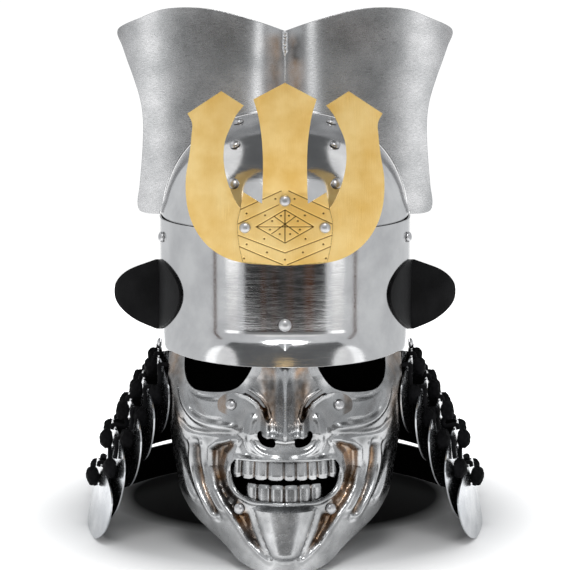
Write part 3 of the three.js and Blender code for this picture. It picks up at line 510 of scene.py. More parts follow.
# Weld bead: small overlapping ripples that run down from the top of the ridge
bead = {"name": "ridge_weld_bead", "nodes": [], "slot": "steel", "materials": [brushedSteel], "sharp": 60,
        "length": 40, "heavyLength": 18, "thin": 0.9, "heavy": 1.9}
seamTop = crestUpper[0][1]
beadPath, beadSize = [], []
for down in np.arange(0.8, bead["length"], 0.4):
    x = 0.4 * math.sin(down * 1.3) * (down < bead["heavyLength"])
    beadPath.append((x, float(crestDepth(np.array(x), np.array(seamTop - down))) - 0.9, seamTop - down))
    lump = 0.82 + 0.18 * abs(math.sin(down * 0.9))
    fade = float(smooth(20, 15, down)) * float(smooth(0, 2, down))
    beadSize.append(bead["thin"] + (bead["heavy"] * lump - 0.1) * fade)
beadPoints, beadFaces = tube(beadPath, np.array(beadSize)[:, None], np.array([0, -1.0, 0]), 14)
makePiece(bead, beadPoints, beadFaces)

joint = {"name": "crest_joint_strip", "nodes": ["crest_rim"], "slot": "steel",
         "materials": [polishedSteel, polishedSteel], "bevel": 0.35,
         "startsUp": 16, "width": 4, "ahead": 1.35}
stripStart = math.asin(joint["startsUp"] / halfWidth)
stripTurns = np.linspace(stripStart, math.pi - stripStart, 160)
lowLine, highLine = crestSeam(stripTurns, gap), crestSeam(stripTurns, gap + sheetThick)
ahead = np.linspace(joint["ahead"], joint["ahead"] + joint["width"], 5)
ahead = ahead[None, :, None] * np.array([0, -1, 0])
points, faces, looks = wall(highLine[:, None, :] + ahead, lowLine[:, None, :] + ahead)
makePiece(joint, points, faces, looks)
print("crest ready")


# Brass ornament: the horns lie on the bowl, the blade lies on them and leans forward at its tip

ornament = {"halfWidth": 75.4, "height": 131, "base": 237, "bend": 300,
            "lean": 7, "layer": 1.8, "sheet": 1.5}


def ornamentDepth(layer):
    leanFrom = ornament["base"] + ornament["height"] * 0.42

    def depth(x, z):
        lean = layer * ornament["lean"] * np.maximum(0, (z - leanFrom) / (ornament["height"] * 0.6))
        return x * x / (2 * ornament["bend"]) - (halfDepth + gap + layer * ornament["layer"]) - lean
    return depth


hornHalf = [
    (0, 0), (.459, .014), (.6, .038), (.736, .084), (.843, .145), (.927, .225), (.979, .315), (1, .42),
    (.995, .51), (.959, .633), (.935, .747), (.93, .817), (.975, .87), (.634, 1), (.41, .919), (.484, .865),
    (.544, .794), (.598, .716), (.614, .636), (.606, .557), (.57, .47), (.516, .39), (.448, .328),
    (.28, .272), (0, .25)]
hornLoop = np.array(mirrored(hornHalf)) * (ornament["halfWidth"], ornament["height"]) + (0, ornament["base"])
tips = [12, 13, 14, len(hornLoop) - 12, len(hornLoop) - 13, len(hornLoop) - 14]
horns = {"name": "ornament_horns_brass", "nodes": ["ornament_horns"], "slot": "brass",
         "materials": [satinBrass, satinBrass], "bevel": 0.4}
points, faces, looks, flat = cutSheet([smoothLine(hornLoop, 1.6, tips)], 2.6,
                                      *layered(ornamentDepth(0), -ornament["sheet"], 0))
makePiece(horns, points, faces, looks)

# Lines and dots pressed into the panel, its right half: the left one mirrors them
pressedLines = [
    [(0, 279.2), (21.8, 266.2), (0, 253.9)], [(0, 266.2), (21.8, 266.2)], [(0, 279.2), (0, 253.9)],
    [(34.2, 279), (2.9, 293.5)], [(35.3, 268.3), (4.6, 283.1)], [(0, 246.4), (35.9, 259.8)],
    [(34.8, 251.1), (1.8, 237.4)]]
crossedLines = [[(-7.8, 274), (10, 261)], [(7.8, 274), (-10, 261)]]
pressedDots = [
    (3, 274.8), (9.7, 270.7), (11.3, 264.2), (3.9, 260.8), (7.2, 287.5), (29, 276.3), (15, 275),
    (15.6, 257.1), (29, 252.8), (13.6, 246.8), (0, 241.3), (31, 242)]


def pressed(flat):
    depth = np.zeros(len(flat))
    right = np.stack([np.abs(flat[:, 0]), flat[:, 1]], -1)
    for places, lines in ((right, pressedLines), (flat, crossedLines)):
        for line in lines:
            depth = np.maximum(depth, 1 - smooth(0.2, 0.62, lineDistance(places, np.array(line, float))))
    for dot in pressedDots:
        depth = np.maximum(depth, 1 - smooth(0.55, 1.05, np.linalg.norm(right - dot, axis=1)))
    return depth


bladeHalf = [
    (0, -.004), (.892, .014), (.972, .112), (1, .235), (.936, .31), (.867, .4), (.48, .338), (.467, .42),
    (.467, .64), (.503, .74), (.564, .83), (.653, .91), (0, 1)]
blade = {"name": "ornament_blade_brass", "nodes": ["ornament_blade"], "slot": "brass",
         "materials": [satinBrass, satinBrass], "sharp": 50,
         "halfWidth": 36, "height": 138, "pressDepth": 0.28, "panelTop": 297, "borderTop": 282}
bladePoints = np.array(mirrored(bladeHalf)) * (blade["halfWidth"], blade["height"]) + (0, ornament["base"])
bladeLoop = smoothLine(bladePoints, 0.9, [1, 5, 6, 11, 12, 13, 18, 19, 23])
bladeFace, bladeBack = layered(ornamentDepth(1), -ornament["sheet"], 0)


def bladeFront(flat):
    return bladeFace(flat) + np.array([0, blade["pressDepth"], 0]) * pressed(flat)[:, None]


points, faces, looks, flat = cutSheet([bladeLoop], 2.4, bladeFront, bladeBack,
                                      fine=(0.42, lambda p: p[:, 1] < blade["panelTop"]))
# painted shadow: a thin dark line along the blade's lower border, where it lies on the horns
border = np.vstack([bladeLoop, bladeLoop[:1]])
shade = 0.9 * (lineDistance(flat, border) < 0.3) * (flat[:, 1] < blade["borderTop"])
pressedAndShadowLine = np.r_[np.maximum(pressed(flat), shade), np.zeros(len(flat))]
makePiece(blade, points, faces, looks, pressedAndShadowLine)
print("ornament ready")


# Side plates: a folded leaf, half of it on the bowl. It rises a little towards the front

leaf = {"height": 57, "base": 170.5, "reach": 46, "lap": 58, "sheet": 2.0, "creaseBack": 22, "lean": 25,
        "tilt": 0.15}
leafWidth = curveOf([(0, .04), (.12, .5), (.3, .9), (.45, 1), (.62, .93), (.82, .6), (1, .04)])


def sidePlatePoint(side, along, z, offset):
    crease = math.atan2(halfWidth, leaf["creaseBack"])
    angle = crease + np.minimum(along, 0) / (0.5 * (halfWidth + halfDepth))
    z = z + leaf["tilt"] * halfDepth * (np.cos(angle) - math.cos(crease))
    lap = bandPoint(angle, z, -(gap / 2 + offset))
    turn = math.radians(leaf["lean"]) * (0.6 + 0.8 * along / leaf["reach"])
    free = np.maximum(along, 0)[..., None] * np.stack([np.cos(turn), np.sin(turn), 0 * turn], -1)
    return (lap + free) * (side, 1, 1)


for side, word in ((-1, "left"), (1, "right")):
    ups = np.linspace(0, 1, 40)[:, None]
    spread = np.r_[np.linspace(-leaf["lap"], 0, 30), np.linspace(2, leaf["reach"], 22)][None, :]
    rounded = np.sqrt(np.maximum(1 - (2 * ups - 1) ** 2, 0.002))
    width = np.where(spread < 0, rounded, leafWidth(ups))
    levels = leaf["base"] + leaf["height"] * ups
    outer = sidePlatePoint(side, spread * width, levels, leaf["sheet"])
    inner = sidePlatePoint(side, spread * width, levels, 0.0)
    plate = {"name": f"side_plate_{word}_black", "nodes": [f"side_plate_{word}"], "slot": "black_plate",
             "materials": [blackPlate, blackPlate], "bevel": 0.5, "sharp": 28}
    points, faces, looks = wall(outer, inner)
    makePiece(plate, points, faces, looks)
print("side plates ready")


# Neck guard: six strips, each lower one further out. Lists go from the top strip to the lowest.

guard = {"top": [165, 148.6, 130.4, 112.7, 89.2, 58], "low": [120, 86.6, 63.8, 42.5, 15.5, 0],
         "backTop": [165, 141, 117, 93, 69, 31], "backLow": [130, 110, 86, 62, 38, 0],
         "half": [0, 105.5, 119, 131, 145.5, 158.4], "flare": [0, 1, 3.5, 6, 11, 10], "backFlare": 13,
         "front": [46, 72, 72, 72, 72, 72], "turn": [14, 28, 28, 28, 28, 28], "centre": 45, "lastBack": 208,
         "nose": 166, "noseGrowth": 64, "leafMiddle": 0.62, "sheet": 1.2}
guardCount = len(guard["top"])
insideBand = sheetThick + 1.5 * gap  # the first strip follows the inner face of the brow band


def lameNose(index):
    if index == 0:
        return halfDepth - insideBand
    return guard["nose"] + guard["noseGrowth"] * (index - 1) / (guardCount - 2)


def lamePlan(index, angle, z):
    step = index / (guardCount - 1)
    centre = guard["centre"] * step
    top, low = guard["top"][index], min(guard["low"][index], guard["backLow"][index])
    fall = (top - z) / (top - low)
    wide, deep, roundFront, roundBack = halfWidth - insideBand, halfDepth - insideBand, bowlRound, bowlRound
    if index > 0:
        wide = guard["half"][index] + guard["flare"][index] * fall
        deep = halfDepth + (guard["lastBack"] - halfDepth) * step - centre + guard["backFlare"] * fall
        roundFront, roundBack = 2, bowlRound - 0.1 - 0.35 * step
    radius = np.where(np.cos(angle) > 0, planRadius(angle, wide, lameNose(index), roundFront),
                      planRadius(angle, wide, deep, roundBack))
    return np.stack(np.broadcast_arrays(radius * np.sin(angle), centre - radius * np.cos(angle), z), -1)


def lameFacing(index, angle):
    level = guard["top"][index]
    along = lamePlan(index, angle + 0.01, level) - lamePlan(index, angle - 0.01, level)
    facing = np.stack([along[..., 1], -along[..., 0], 0 * along[..., 0]], -1)
    return facing / np.linalg.norm(facing, axis=-1, keepdims=True)


def lameAngleAt(index, y):
    centre = guard["centre"] * index / (guardCount - 1)
    wide = halfWidth - insideBand if index == 0 else guard["half"][index]
    power = bowlRound if index == 0 else 2
    across = wide * (1 - ((centre - y) / lameNose(index)) ** power) ** (1 / power)
    return math.atan2(across, centre - y)


def lameEdges(index, y):
    backward = smooth(-guard["turn"][index], 130, y)
    top = guard["top"][index] + (guard["backTop"][index] - guard["top"][index]) * backward
    low = guard["low"][index] + (guard["backLow"][index] - guard["low"][index]) * backward
    reach = (-guard["turn"][index] - y) / (guard["front"][index] - guard["turn"][index])
    roundness = np.sqrt(1 - np.clip(reach, 0, 0.9995) ** 2)
    middle = low + (top - low) * guard["leafMiddle"]
    return middle + (top - middle) * roundness, middle - (middle - low) * roundness


for index in range(guardCount):
    first = lameAngleAt(index, -guard["front"][index])
    near = first + (math.pi - first) * 0.16 * np.linspace(0, 1, 40) ** 1.9
    half = np.r_[near, np.linspace(near[-1], math.pi, 70)[1:]]
    angles = np.r_[half, 2 * math.pi - half[:-1][::-1]][:, None]
    top, low = lameEdges(index, lamePlan(index, angles, guard["top"][index])[..., 1])
    rows = top + (low - top) * np.linspace(0, 1, 15)[None, :]
    outer = lamePlan(index, angles, rows)
    strip = {"name": f"neck_strip_{index + 1}_steel", "nodes": [f"neck_lame_{index + 1}"], "slot": "steel",
             "materials": [stripSteel, blackInsideAndShade], "bevel": 0.3}
    points, faces, looks = wall(outer, outer - guard["sheet"] * lameFacing(index, angles))
    makePiece(strip, points, faces, looks)
print("neck guard ready")


# Lacing: braided cord with a lumpy knot on each strip

lacing = {"cordRadius": 1.6, "tailRadius": 1.5, "knotWide": 12.6, "knotTall": 16, "knotDeep": 11.4,
          "knotOut": 5.6, "overEdge": 1.9, "slant": 7, "strands": 5}
knotRows, knotColumns = 36, 48


# Four cords cross and recross, so the knot is a barrel of slanting lumps
def knotLump(centre, facing, seed):
    wide, tall, deep = lacing["knotWide"], lacing["knotTall"], lacing["knotDeep"]
    side = np.array([-facing[1], facing[0], 0])
    lat = np.linspace(0, math.pi, knotRows)[:, None]
    lon = np.linspace(0, 2 * math.pi, knotColumns, endpoint=False)[None, :]
    slant, count = lacing["slant"] * lat, lacing["strands"]
    strands = np.maximum(np.cos(count * lon + slant + seed), np.cos(count * lon - slant + seed * 2))
    size = (1 + 0.06 * strands) * (0.92 + 0.05 * np.sin(3 * lon + 2 * lat + seed * 3))
    x = np.sign(np.cos(lon)) * np.abs(np.cos(lon)) ** 0.8 * np.sin(lat) ** 0.7 * size
    y = np.sign(np.sin(lon)) * np.abs(np.sin(lon)) ** 0.8 * np.sin(lat) ** 0.7 * size
    z = np.cos(lat) * size
    points = centre + (x * wide / 2)[..., None] * side + (y * deep / 2)[..., None] * facing
    points = points + (z * tall / 2)[..., None] * np.array([0, 0, 1])
    at = np.arange(knotRows * knotColumns).reshape(knotRows, knotColumns)
    a, b = at[:-1], at[1:]
    faces = np.stack([a, np.roll(a, -1, 1), np.roll(b, -1, 1), b], -1).reshape(-1, 4)
    return points.reshape(-1, 3), faces.tolist()


def lacingPiece(name, node, angleOf, side, lowest, drop):
    points, faces = [], []

    def add(part):
        base = sum(len(p) for p in points)
        points.append(part[0] * (side, 1, 1))
        faces.extend([[i + base for i in f] for f in part[1]])

    over, previous = lacing["overEdge"], None
    for index in range(1, lowest + 1):
        angle, inside = np.array(angleOf(index)), np.array(angleOf(index - 1))
        edge = float(lameEdges(index, lamePlan(index, angle, guard["top"][index])[1])[0])
        facing, behind = lameFacing(index, angle), lameFacing(index - 1, inside)
        crossing = edge + over
        knot = crossing - drop - 3.2

        def on(z, out):
            return lamePlan(index, angle, z) + facing * out

        start = lamePlan(index - 1, inside, crossing) + behind * (1.4 if index == 1 else over)
        route = [start, on(crossing, over), on(crossing - 1.6 - drop / 2, over), on(knot, 2.2)]
        if previous is not None and previous > crossing + 0.5:
            route.insert(0, lamePlan(index - 1, inside, previous) + behind * over)
        add(tube(smoothLine(route, 0.7, closed=False), lacing["cordRadius"], facing, wave=0.18))
        add(knotLump(on(knot - 7.5, lacing["knotOut"]), facing, index * 1.7 + len(points)))
        tail = [on(knot - 14, 2.6), on(knot - 15.6, 2.0)]
        add(tube(smoothLine(tail, 0.5, closed=False), lacing["tailRadius"], facing, wave=0.2))
        previous = knot - 14
    piece = {"name": name, "nodes": [node], "slot": "cord", "materials": [blackCord], "sharp": 60}
    makePiece(piece, np.vstack(points), faces)


# Columns: where they start in front of the bowl's middle or how far round, the lowest strip, and the drop
columns = [("front", 52, None, 4, 13), ("side", 25, None, 5, 0), ("rear_side", None, 100, 5, 0),
           ("rear", None, 126, 5, 0), ("near_back", None, 152, 5, 0)]
for name, ahead, turn, lowest, drop in columns:
    angleOf = (lambda i: math.radians(turn)) if turn else (lambda i: lameAngleAt(i, -ahead))
    for side, word in ((-1, "left"), (1, "right")):
        lacingPiece(f"cord_{name}_{word}", f"lacing_{name}_{word}", angleOf, side, lowest, drop)
lacingPiece("cord_back", "lacing_back", lambda i: math.pi, 1, 5, 0)
print("lacing ready")


# Mask: a beaten face with a deep relief. Its sheets are drawn flat and then laid round the face.

flatScale = 105  # flat millimetres for one radian round the face
mask = {"name": "mask_polished", "nodes": ["mask_face"], "slot": "steel",
        "materials": [beatenSteel, blackInsideAndShade], "sharp": 55,
        "recess": 6.2, "recessRim": 1.3, "tongue": 7.5, "edgesForward": 14}
rivetSeats = ((40.3, 127.8), (33.6, 50.6))
maskRows = [
    (0, .68, 1, 2), (.075, .7, .98, 2), (.11, .745, .967, 2), (.15, .81, .953, 2), (.2, .865, .94, 2),
    (.27, .925, .92, 2), (.38, .945, .88, 2.05), (.54, .98, .827, 2.15), (.7, 1, .775, 2.2),
    (.806, 1, .754, 2.2), (1, 1, .754, 2.2)]
maskWide, maskDeep, maskRound = [curveOf([(row[0], row[i]) for row in maskRows]) for i in (1, 2, 3)]
maskForms = [(.52, .61, .2, .09, .04), (.55, .8, .2, .08, -.03), (.66, .42, .13, .16, -.04),
             (0, .4, .42, .13, .03), (0, .14, .2, .12, .012)]


def maskPoint(angle, z, offset):
    up = z / maskTop
    deep = np.maximum(maskReach * maskDeep(up), halfDepth - sheetThick - gap)
    wide = (halfWidth - sheetThick - gap) * maskWide(up)
    radius = planRadius(angle, wide, deep, maskRound(up))
    across = np.abs(radius * np.sin(angle)) / halfWidth
    swell = sum(out * maskReach * np.exp(-((across - x) / wide) ** 2 - ((up - at) / tall) ** 2)
                for x, at, wide, tall, out in maskForms)
    return polar(angle, radius + swell * smooth(1, 0.84, up) + offset, z)


def maskAngle(x, z):
    low, high = np.zeros_like(x), np.full_like(x, math.radians(80))
    for _ in range(40):
        middle = (low + high) / 2
        further = maskPoint(middle, z, 0)[:, 0] < np.abs(x)
        low, high = np.where(further, middle, low), np.where(further, high, middle)
    return low * np.sign(x)


# Ridges stand out and grooves go in: a line on the right half, how far, and its half width
maskStrokes = [
    ([(77.9, 140), (74.6, 135.7), (68.3, 132.3), (59, 131), (50, 131.2)], -0.9, 1.0),
    ([(76.6, 137), (72.5, 131.8), (66, 128.8), (57, 128), (50, 128.4)], 0.5, 1.6),
    ([(80.7, 140), (78.8, 127), (75, 119.9), (68.6, 114.3), (58.8, 111.6), (48, 111), (37, 111)], 2.2, 2.9),
    ([(75, 127), (71, 120), (65, 116.6), (56, 115.4), (47, 115)], -1.0, 1.3),
    ([(82, 113), (79, 107), (74, 104), (64, 103.6), (52, 105), (40, 106)], -1.5, 2.0),
    ([(77, 97.5), (73.6, 93.8), (73.4, 76.5), (69.5, 61.2), (62.5, 46.8), (55, 34.8)], 2.0, 1.9),
    ([(70.2, 94), (69.6, 79.2), (66, 63.7), (59.2, 49.1), (52.5, 37.9)], -4.2, 2.6),
    ([(65.5, 97), (64, 91), (63.2, 78), (59.8, 63.5), (53.6, 50), (46.5, 41.4)], 2.4, 2.2),
    ([(82, 89), (80, 76), (75.5, 60), (68.5, 47)], -1.2, 2.6),
    ([(39, 88.5), (30.1, 88.3), (14.8, 88.6), (0, 88.6)], 2.6, 1.7),
    ([(39, 87), (42.6, 80.4), (43.2, 72.2), (40, 64), (33.2, 58.6), (25.3, 56), (12.4, 56), (0, 56)],
     2.8, 2.0),
    ([(24, 52.6), (10.1, 52.8), (0, 52.8)], -1.5, 0.9),
    ([(20, 121), (24.5, 118.5), (27, 112), (26.8, 105), (24.4, 98), (18.3, 93.2), (9, 91.6), (0, 91.4)],
     2.6, 2.5),
    ([(32, 108), (31.4, 100), (28, 93), (22, 89.6)], -1.3, 2.2)]
recessLine = np.array([(36, 101), (43.2, 99.8), (52.3, 96), (58, 90), (58.4, 75.5), (54.7, 62), (48.5, 51.8),
                       (41.8, 44.5), (34.7, 34.6), (27.4, 24.7), (18, 17), (12, 13.5)])
recessInner = np.array([(14.5, 18.5), (17.4, 24.5), (22.2, 35), (26.2, 48), (27.5, 51), (31.5, 56.5),
                        (38.4, 61), (43.4, 67.5), (45.2, 77.7), (42.8, 87.5), (38, 94), (36, 99)])
recessLoop = np.vstack([recessLine, recessInner])
tongueEdge = curveOf([(12.2, 0.5), (13.2, 4.5), (15, 8.2), (17.8, 11.3), (27.5, 15.9), (38.5, 20.1),
                      (50.5, 23.7)])
tongueTop = 52.4


# How far the face stands out at a place, and how deep that place lies in a recess
def relief(x, z):
    flat = np.stack([np.abs(x), z], -1)
    height = np.zeros(len(flat))
    for line, out, wide in maskStrokes:
        line = smoothLine(line, 3.0, closed=False)
        near = lineDistance(flat, line)
        ends = [line[0]] if line[-1][0] < 0.5 else [line[0], line[-1]]
        run = np.min([np.linalg.norm(flat - end, axis=1) for end in ends], axis=0)
        height += out * smooth(-0.6, 6, run) * np.exp(-(near / wide) ** 2.6)
    within = insideLoops(flat, [recessLoop])
    fromOuter, fromInner = lineDistance(flat, recessLine), lineDistance(flat, recessInner)
    bowl = smooth(0, 3.2, fromOuter) * smooth(0, 8, fromInner)
    height -= np.where(within, mask["recess"] * bowl, 0)
    height += mask["recessRim"] * np.exp(-((fromOuter - 1.2) / 1.5) ** 2) * ~within
    edge = tongueEdge(np.clip(z, 12.2, 50.5))
    across = np.clip(flat[:, 0] / edge, 0, 1)
    tongue = np.sqrt(np.maximum(1 - across**2.4, 0)) * smooth(12, 19, z) * smooth(tongueTop, 51.2, z)
    height += np.where(z < tongueTop, mask["tongue"] * tongue, 0)
    height *= smooth(184, 160, z)
    for seat in rivetSeats:
        height *= smooth(3.8, 7.5, np.linalg.norm(flat - seat, axis=1))
    return height, within * bowl


def angleLoop(xz, spacing, corners=()):
    line = smoothLine(xz, spacing, corners)
    return np.stack([maskAngle(line[:, 0], line[:, 1]) * flatScale, line[:, 1]], -1)


eyeHalf = [(78.7, 172), (78.8, 158), (78.7, 149.4), (76.6, 142.2), (71.5, 136.6), (64, 134.9), (54.2, 134.8),
           (45.7, 136.1), (37.4, 139.4), (32.6, 143.8), (28.4, 150), (25.2, 156.8), (24, 172)]
mouthHalf = [(0, 57), (12.4, 57.2), (22, 57.6), (29.5, 59.4), (36, 63.4), (40, 69.6), (41.6, 77.3),
             (40.6, 83.5), (38.5, 86.4), (20, 87), (0, 87.2)]
lowerEdge = curveOf([(0, .004), (.24, .038), (.346, .075), (.508, .11), (.65, .148), (.79, .197),
                     (.875, .274), (1, .42)])
halfFlat = maskHalfAngle * flatScale
bottomTurns = np.linspace(-1, 1, 150)
bottom = np.stack([bottomTurns * halfFlat, maskTop * lowerEdge(np.abs(bottomTurns))], -1)
sideUp = np.linspace(bottom[-1][1], maskTop, 50)[1:]
rightEdge, leftEdge = [(halfFlat, z) for z in sideUp], [(-halfFlat, z) for z in sideUp[:-1][::-1]]
topEdge = [(place, maskTop) for place in np.linspace(halfFlat, -halfFlat, 100)[1:]]
outline = np.vstack([bottom, rightEdge, topEdge, leftEdge])
eyeLoops = [angleLoop(np.array(eyeHalf) * (side, 1), 1.5, (0, 12)) for side in (1, -1)]
mouthLoop = angleLoop(np.array(mirrored(mouthHalf)), 1.5, (8, 12))


def maskSurface(offset):
    def face(flat):
        angle = flat[:, 0] / flatScale
        base = maskPoint(angle, flat[:, 1], 0)
        height, _ = relief(base[:, 0], flat[:, 1])
        nearEdge = smooth(50, 84, np.abs(base[:, 0])) * smooth(165, 140, flat[:, 1])
        base[:, 1] -= mask["edgesForward"] * nearEdge
        outward = np.stack([np.sin(angle) * 0.9, -np.cos(angle), 0 * angle], -1)
        return base + outward * (height + offset)[:, None]
    return face


nostrilHalf = [(18.4, 110.6), (20.6, 108.6), (20.6, 104.4), (17.2, 99.2), (8, 97.8), (7.2, 101.2), (9, 104),
               (14.5, 105.2), (17, 107.4)]
nostrilMiddle = (14, 104)
behind = (np.array(nostrilHalf) - nostrilMiddle) * (1.25, 1.3) + nostrilMiddle
openBehind = [angleLoop(behind * (side, 1), 1.2) for side in (1, -1)]
points, faces, looks, flat = cutSheet([outline] + eyeLoops + [mouthLoop] + openBehind, 2.6,
                                      maskSurface(0), maskSurface(-sheetThick),
                                      fine=(1.25, lambda p: p[:, 1] < 146))
flatPlace = maskPoint(flat[:, 0] / flatScale, flat[:, 1], 0)
depths, hollow = relief(flatPlace[:, 0], flat[:, 1])
brown = np.clip(hollow * 1.1 + smooth(-1.2, -3.2, depths) * 0.9, 0, 1)
# the line above gives tarnish in the hollows and grooves; this one adds a painted brown reflection high on
# both sides
brown = np.maximum(brown, 0.75 * smooth(76, 86, np.abs(flatPlace[:, 0])) * smooth(92, 112, flat[:, 1]))
makePiece(mask, points, faces, looks, np.r_[brown, np.zeros(len(flat))])
print("mask ready")


# Nose plate: bridge, nose, nostrils and two tabs

nose = {"name": "nose_plate_polished", "nodes": ["nose_plate"], "slot": "steel",
        "materials": [beatenSteel, blackInsideAndShade], "sharp": 60,
        "reach": 34, "wing": 9, "wingGroove": 2.6, "slotDepth": 4.5, "slotRim": 1.3}
noseOut = curveOf([(.5, 0), (.55, .03), (.565, .35), (.578, .85), (.595, 1), (.62, 1.04), (.66, .96),
                   (.72, .8), (.8, .6), (.87, .42), (.93, .2), (1, 0)])
noseBroad = curveOf([(.5, .15), (.53, .155), (.56, .16), (.6, .135), (.64, .105), (.7, .082), (.8, .1),
                     (.88, .16), (1, .16)])
noseGapLine = np.array([(36, 140.2), (26.7, 136.4), (19.6, 131.6), (15.5, 126.3), (13.6, 121)])


def nosePoint(flat, offset):
    angle, z = flat[:, 0] / flatScale, flat[:, 1]
    base = maskPoint(angle, z, gap)
    x, up = np.abs(base[:, 0]), z / maskTop
    broad = noseBroad(up) * halfWidth
    crown = 0.72 * np.exp(-(x / broad) ** 1.7) + 0.28 * np.exp(-(x / (broad * 0.33)) ** 1.5)
    ridge = nose["reach"] * noseOut(up) * crown
    wing = nose["wing"] * np.exp(-((x - 13.6) / 3.2) ** 2) * smooth(105, 108, z) * smooth(130, 112, z)
    grooveHere = np.exp(-((x - 9.2) / 1.8) ** 2) * smooth(107, 110, z) * smooth(124, 114, z)
    wingGroove = -nose["wingGroove"] * grooveHere
    near = lineDistance(np.stack([x, z], -1), noseGapLine)
    slotRim = nose["slotRim"] * np.exp(-((near - 2.8) / 1.3) ** 2)
    slot = slotRim - nose["slotDepth"] * np.exp(-(near / 1.25) ** 2)
    height = np.maximum(relief(base[:, 0], z)[0], -1.5)
    out = ridge + (wing + wingGroove + slot) * smooth(150, 143, z)
    return base + np.stack([0 * x, -out - height * 0.9, 0 * x], -1) + np.stack(
        [np.sin(angle), -np.cos(angle), 0 * x], -1) * offset


noseHalf = [(0, 87), (14.8, 87), (30, 87), (39.5, 87.2), (38, 90), (36.3, 95.2), (35.3, 104.7), (36, 114.5),
            (41, 119), (47.3, 121.4), (50.4, 123), (51, 129.4), (46, 134.4), (38.8, 136.6), (30.6, 136.5),
            (27.6, 139.5), (22, 147), (17.6, 156), (20.4, 172), (20.4, 176.7), (0, 176.7)]
noseLoop = np.array(mirrored(noseHalf))
nostrils = [angleLoop(np.array(nostrilHalf) * (side, 1), 0.8) for side in (1, -1)]
points, faces, looks, flat = cutSheet([angleLoop(noseLoop, 1.2, (3, 19, 21, 37))] + nostrils, 0.95,
                                      lambda p: nosePoint(p, sheetThick), lambda p: nosePoint(p, 0))
placeX = np.abs(maskPoint(flat[:, 0] / flatScale, flat[:, 1], 0)[:, 0])
# brown on both sides of the bridge, towards its top
brown = 0.8 * smooth(5, 9, placeX) * smooth(24, 14, placeX) * smooth(112, 124, flat[:, 1])
# painted shade: brown along the outer edges of the tabs, where they round away
brown = np.maximum(brown, 0.7 * smooth(43, 46, placeX))
# painted shadow in the slot beside the bridge
slotHere = lineDistance(np.stack([placeX, flat[:, 1]], -1), noseGapLine) < 1.3
brown = np.where(slotHere, 1.6, brown)  # the slot beside the bridge is the darkest place
makePiece(nose, points, faces, looks, np.r_[brown, np.zeros(len(flat))])
print("nose ready")


# Teeth: a strip behind the mouth with rounded teeth. Its levels and the gaps between its teeth are
# shares of the height of the mask and of the half width of the bowl.

upperTeeth = {"name": "upper_teeth_polished", "nodes": ["upper_teeth"], "slot": "steel",
              "materials": [beatenSteel, blackInsideAndShade], "sharp": 50, "low": 0.39, "high": 0.475,
              "gaps": [-.46, -.347, -.236, -.13, -.008, .08, .172, .25, .35, .46]}
lowerTeeth = {"name": "lower_teeth_polished", "nodes": ["lower_teeth"], "slot": "steel",
              "materials": [beatenSteel, blackInsideAndShade], "sharp": 50, "low": 0.3, "high": 0.372,
              "gaps": [-.3, -.206, -.107, -.007, .098, .192, .285]}
toothForm = {"gapDepth": 2.3, "tipRound": 0.9, "cornerRound": 1.3, "strip": 4.6, "behindMask": 0.45}


def toothStrip(piece, upper):
    low, high = piece["low"] * maskTop, piece["high"] * maskTop
    gaps = np.array(piece["gaps"]) * halfWidth
    columns = np.linspace(gaps[0], gaps[-1], 30 * (len(gaps) - 1) + 1)
    x, z = np.meshgrid(columns, np.linspace(high, low, 24), indexing="ij")
    which = np.clip(np.searchsorted(gaps, x, side="right") - 1, 0, len(gaps) - 2)
    middle, half = (gaps[which] + gaps[which + 1]) / 2, (gaps[which + 1] - gaps[which]) / 2
    across = np.abs(x - middle) / half
    tip = (z - low) / (high - low) if upper else (high - z) / (high - low)
    bulge = -toothForm["gapDepth"] * across**3.2 - toothForm["tipRound"] * (1 - smooth(0, 0.22, tip))
    angle = np.arctan2(x, maskReach * 0.85)
    radial = np.stack([np.sin(angle), -np.cos(angle), 0 * angle], -1)
    corner = toothForm["cornerRound"] * across**3 * (1 - smooth(0, 0.3, tip)) * (1 if upper else -1)
    outer = maskPoint(angle, z, 0) + np.array([0, 0, 1]) * corner[..., None]
    faceOut = -sheetThick - toothForm["behindMask"]
    front = outer + radial * (faceOut + bulge)[..., None]
    points, faces, looks = wall(front, outer + radial * (faceOut - toothForm["strip"]))
    # painted shade in the gaps between the teeth
    gapShade = smooth(0.75, 1.0, across) * 0.7
    makePiece(piece, points, faces, looks, np.r_[gapShade.ravel(), gapShade.ravel()])


toothStrip(upperTeeth, True)
toothStrip(lowerTeeth, False)
print("teeth ready")

# A black sheet behind the mouth: painted shade for the dark inside of the helmet seen through the mouth
mouthShadeSheet = {"name": "mouth_shade_sheet_black", "nodes": [], "slot": "black_plate", "materials": [blackInsideAndShade],
           "bevel": 0.6, "halfTurn": 34, "low": 26, "high": 104, "behind": 19, "thick": 4}
shadeSheetTurns = np.radians(np.linspace(-mouthShadeSheet["halfTurn"], mouthShadeSheet["halfTurn"], 60))[:, None]
shadeSheetLevels = np.linspace(mouthShadeSheet["low"], mouthShadeSheet["high"], 30)[None, :] + 0 * shadeSheetTurns
shadeSheetFront = maskPoint(shadeSheetTurns, shadeSheetLevels, -mouthShadeSheet["behind"])
shadeSheetBack = maskPoint(shadeSheetTurns, shadeSheetLevels, -mouthShadeSheet["behind"] - mouthShadeSheet["thick"])
points, faces, looks = wall(shadeSheetFront, shadeSheetBack)
makePiece(mouthShadeSheet, points, faces)


# Rivets: each head is a round dome with a small flat foot

headShape = {"foot": 0.12, "rim": 0.14, "dome": 0.6, "across": 0.96}  # shares of the radius


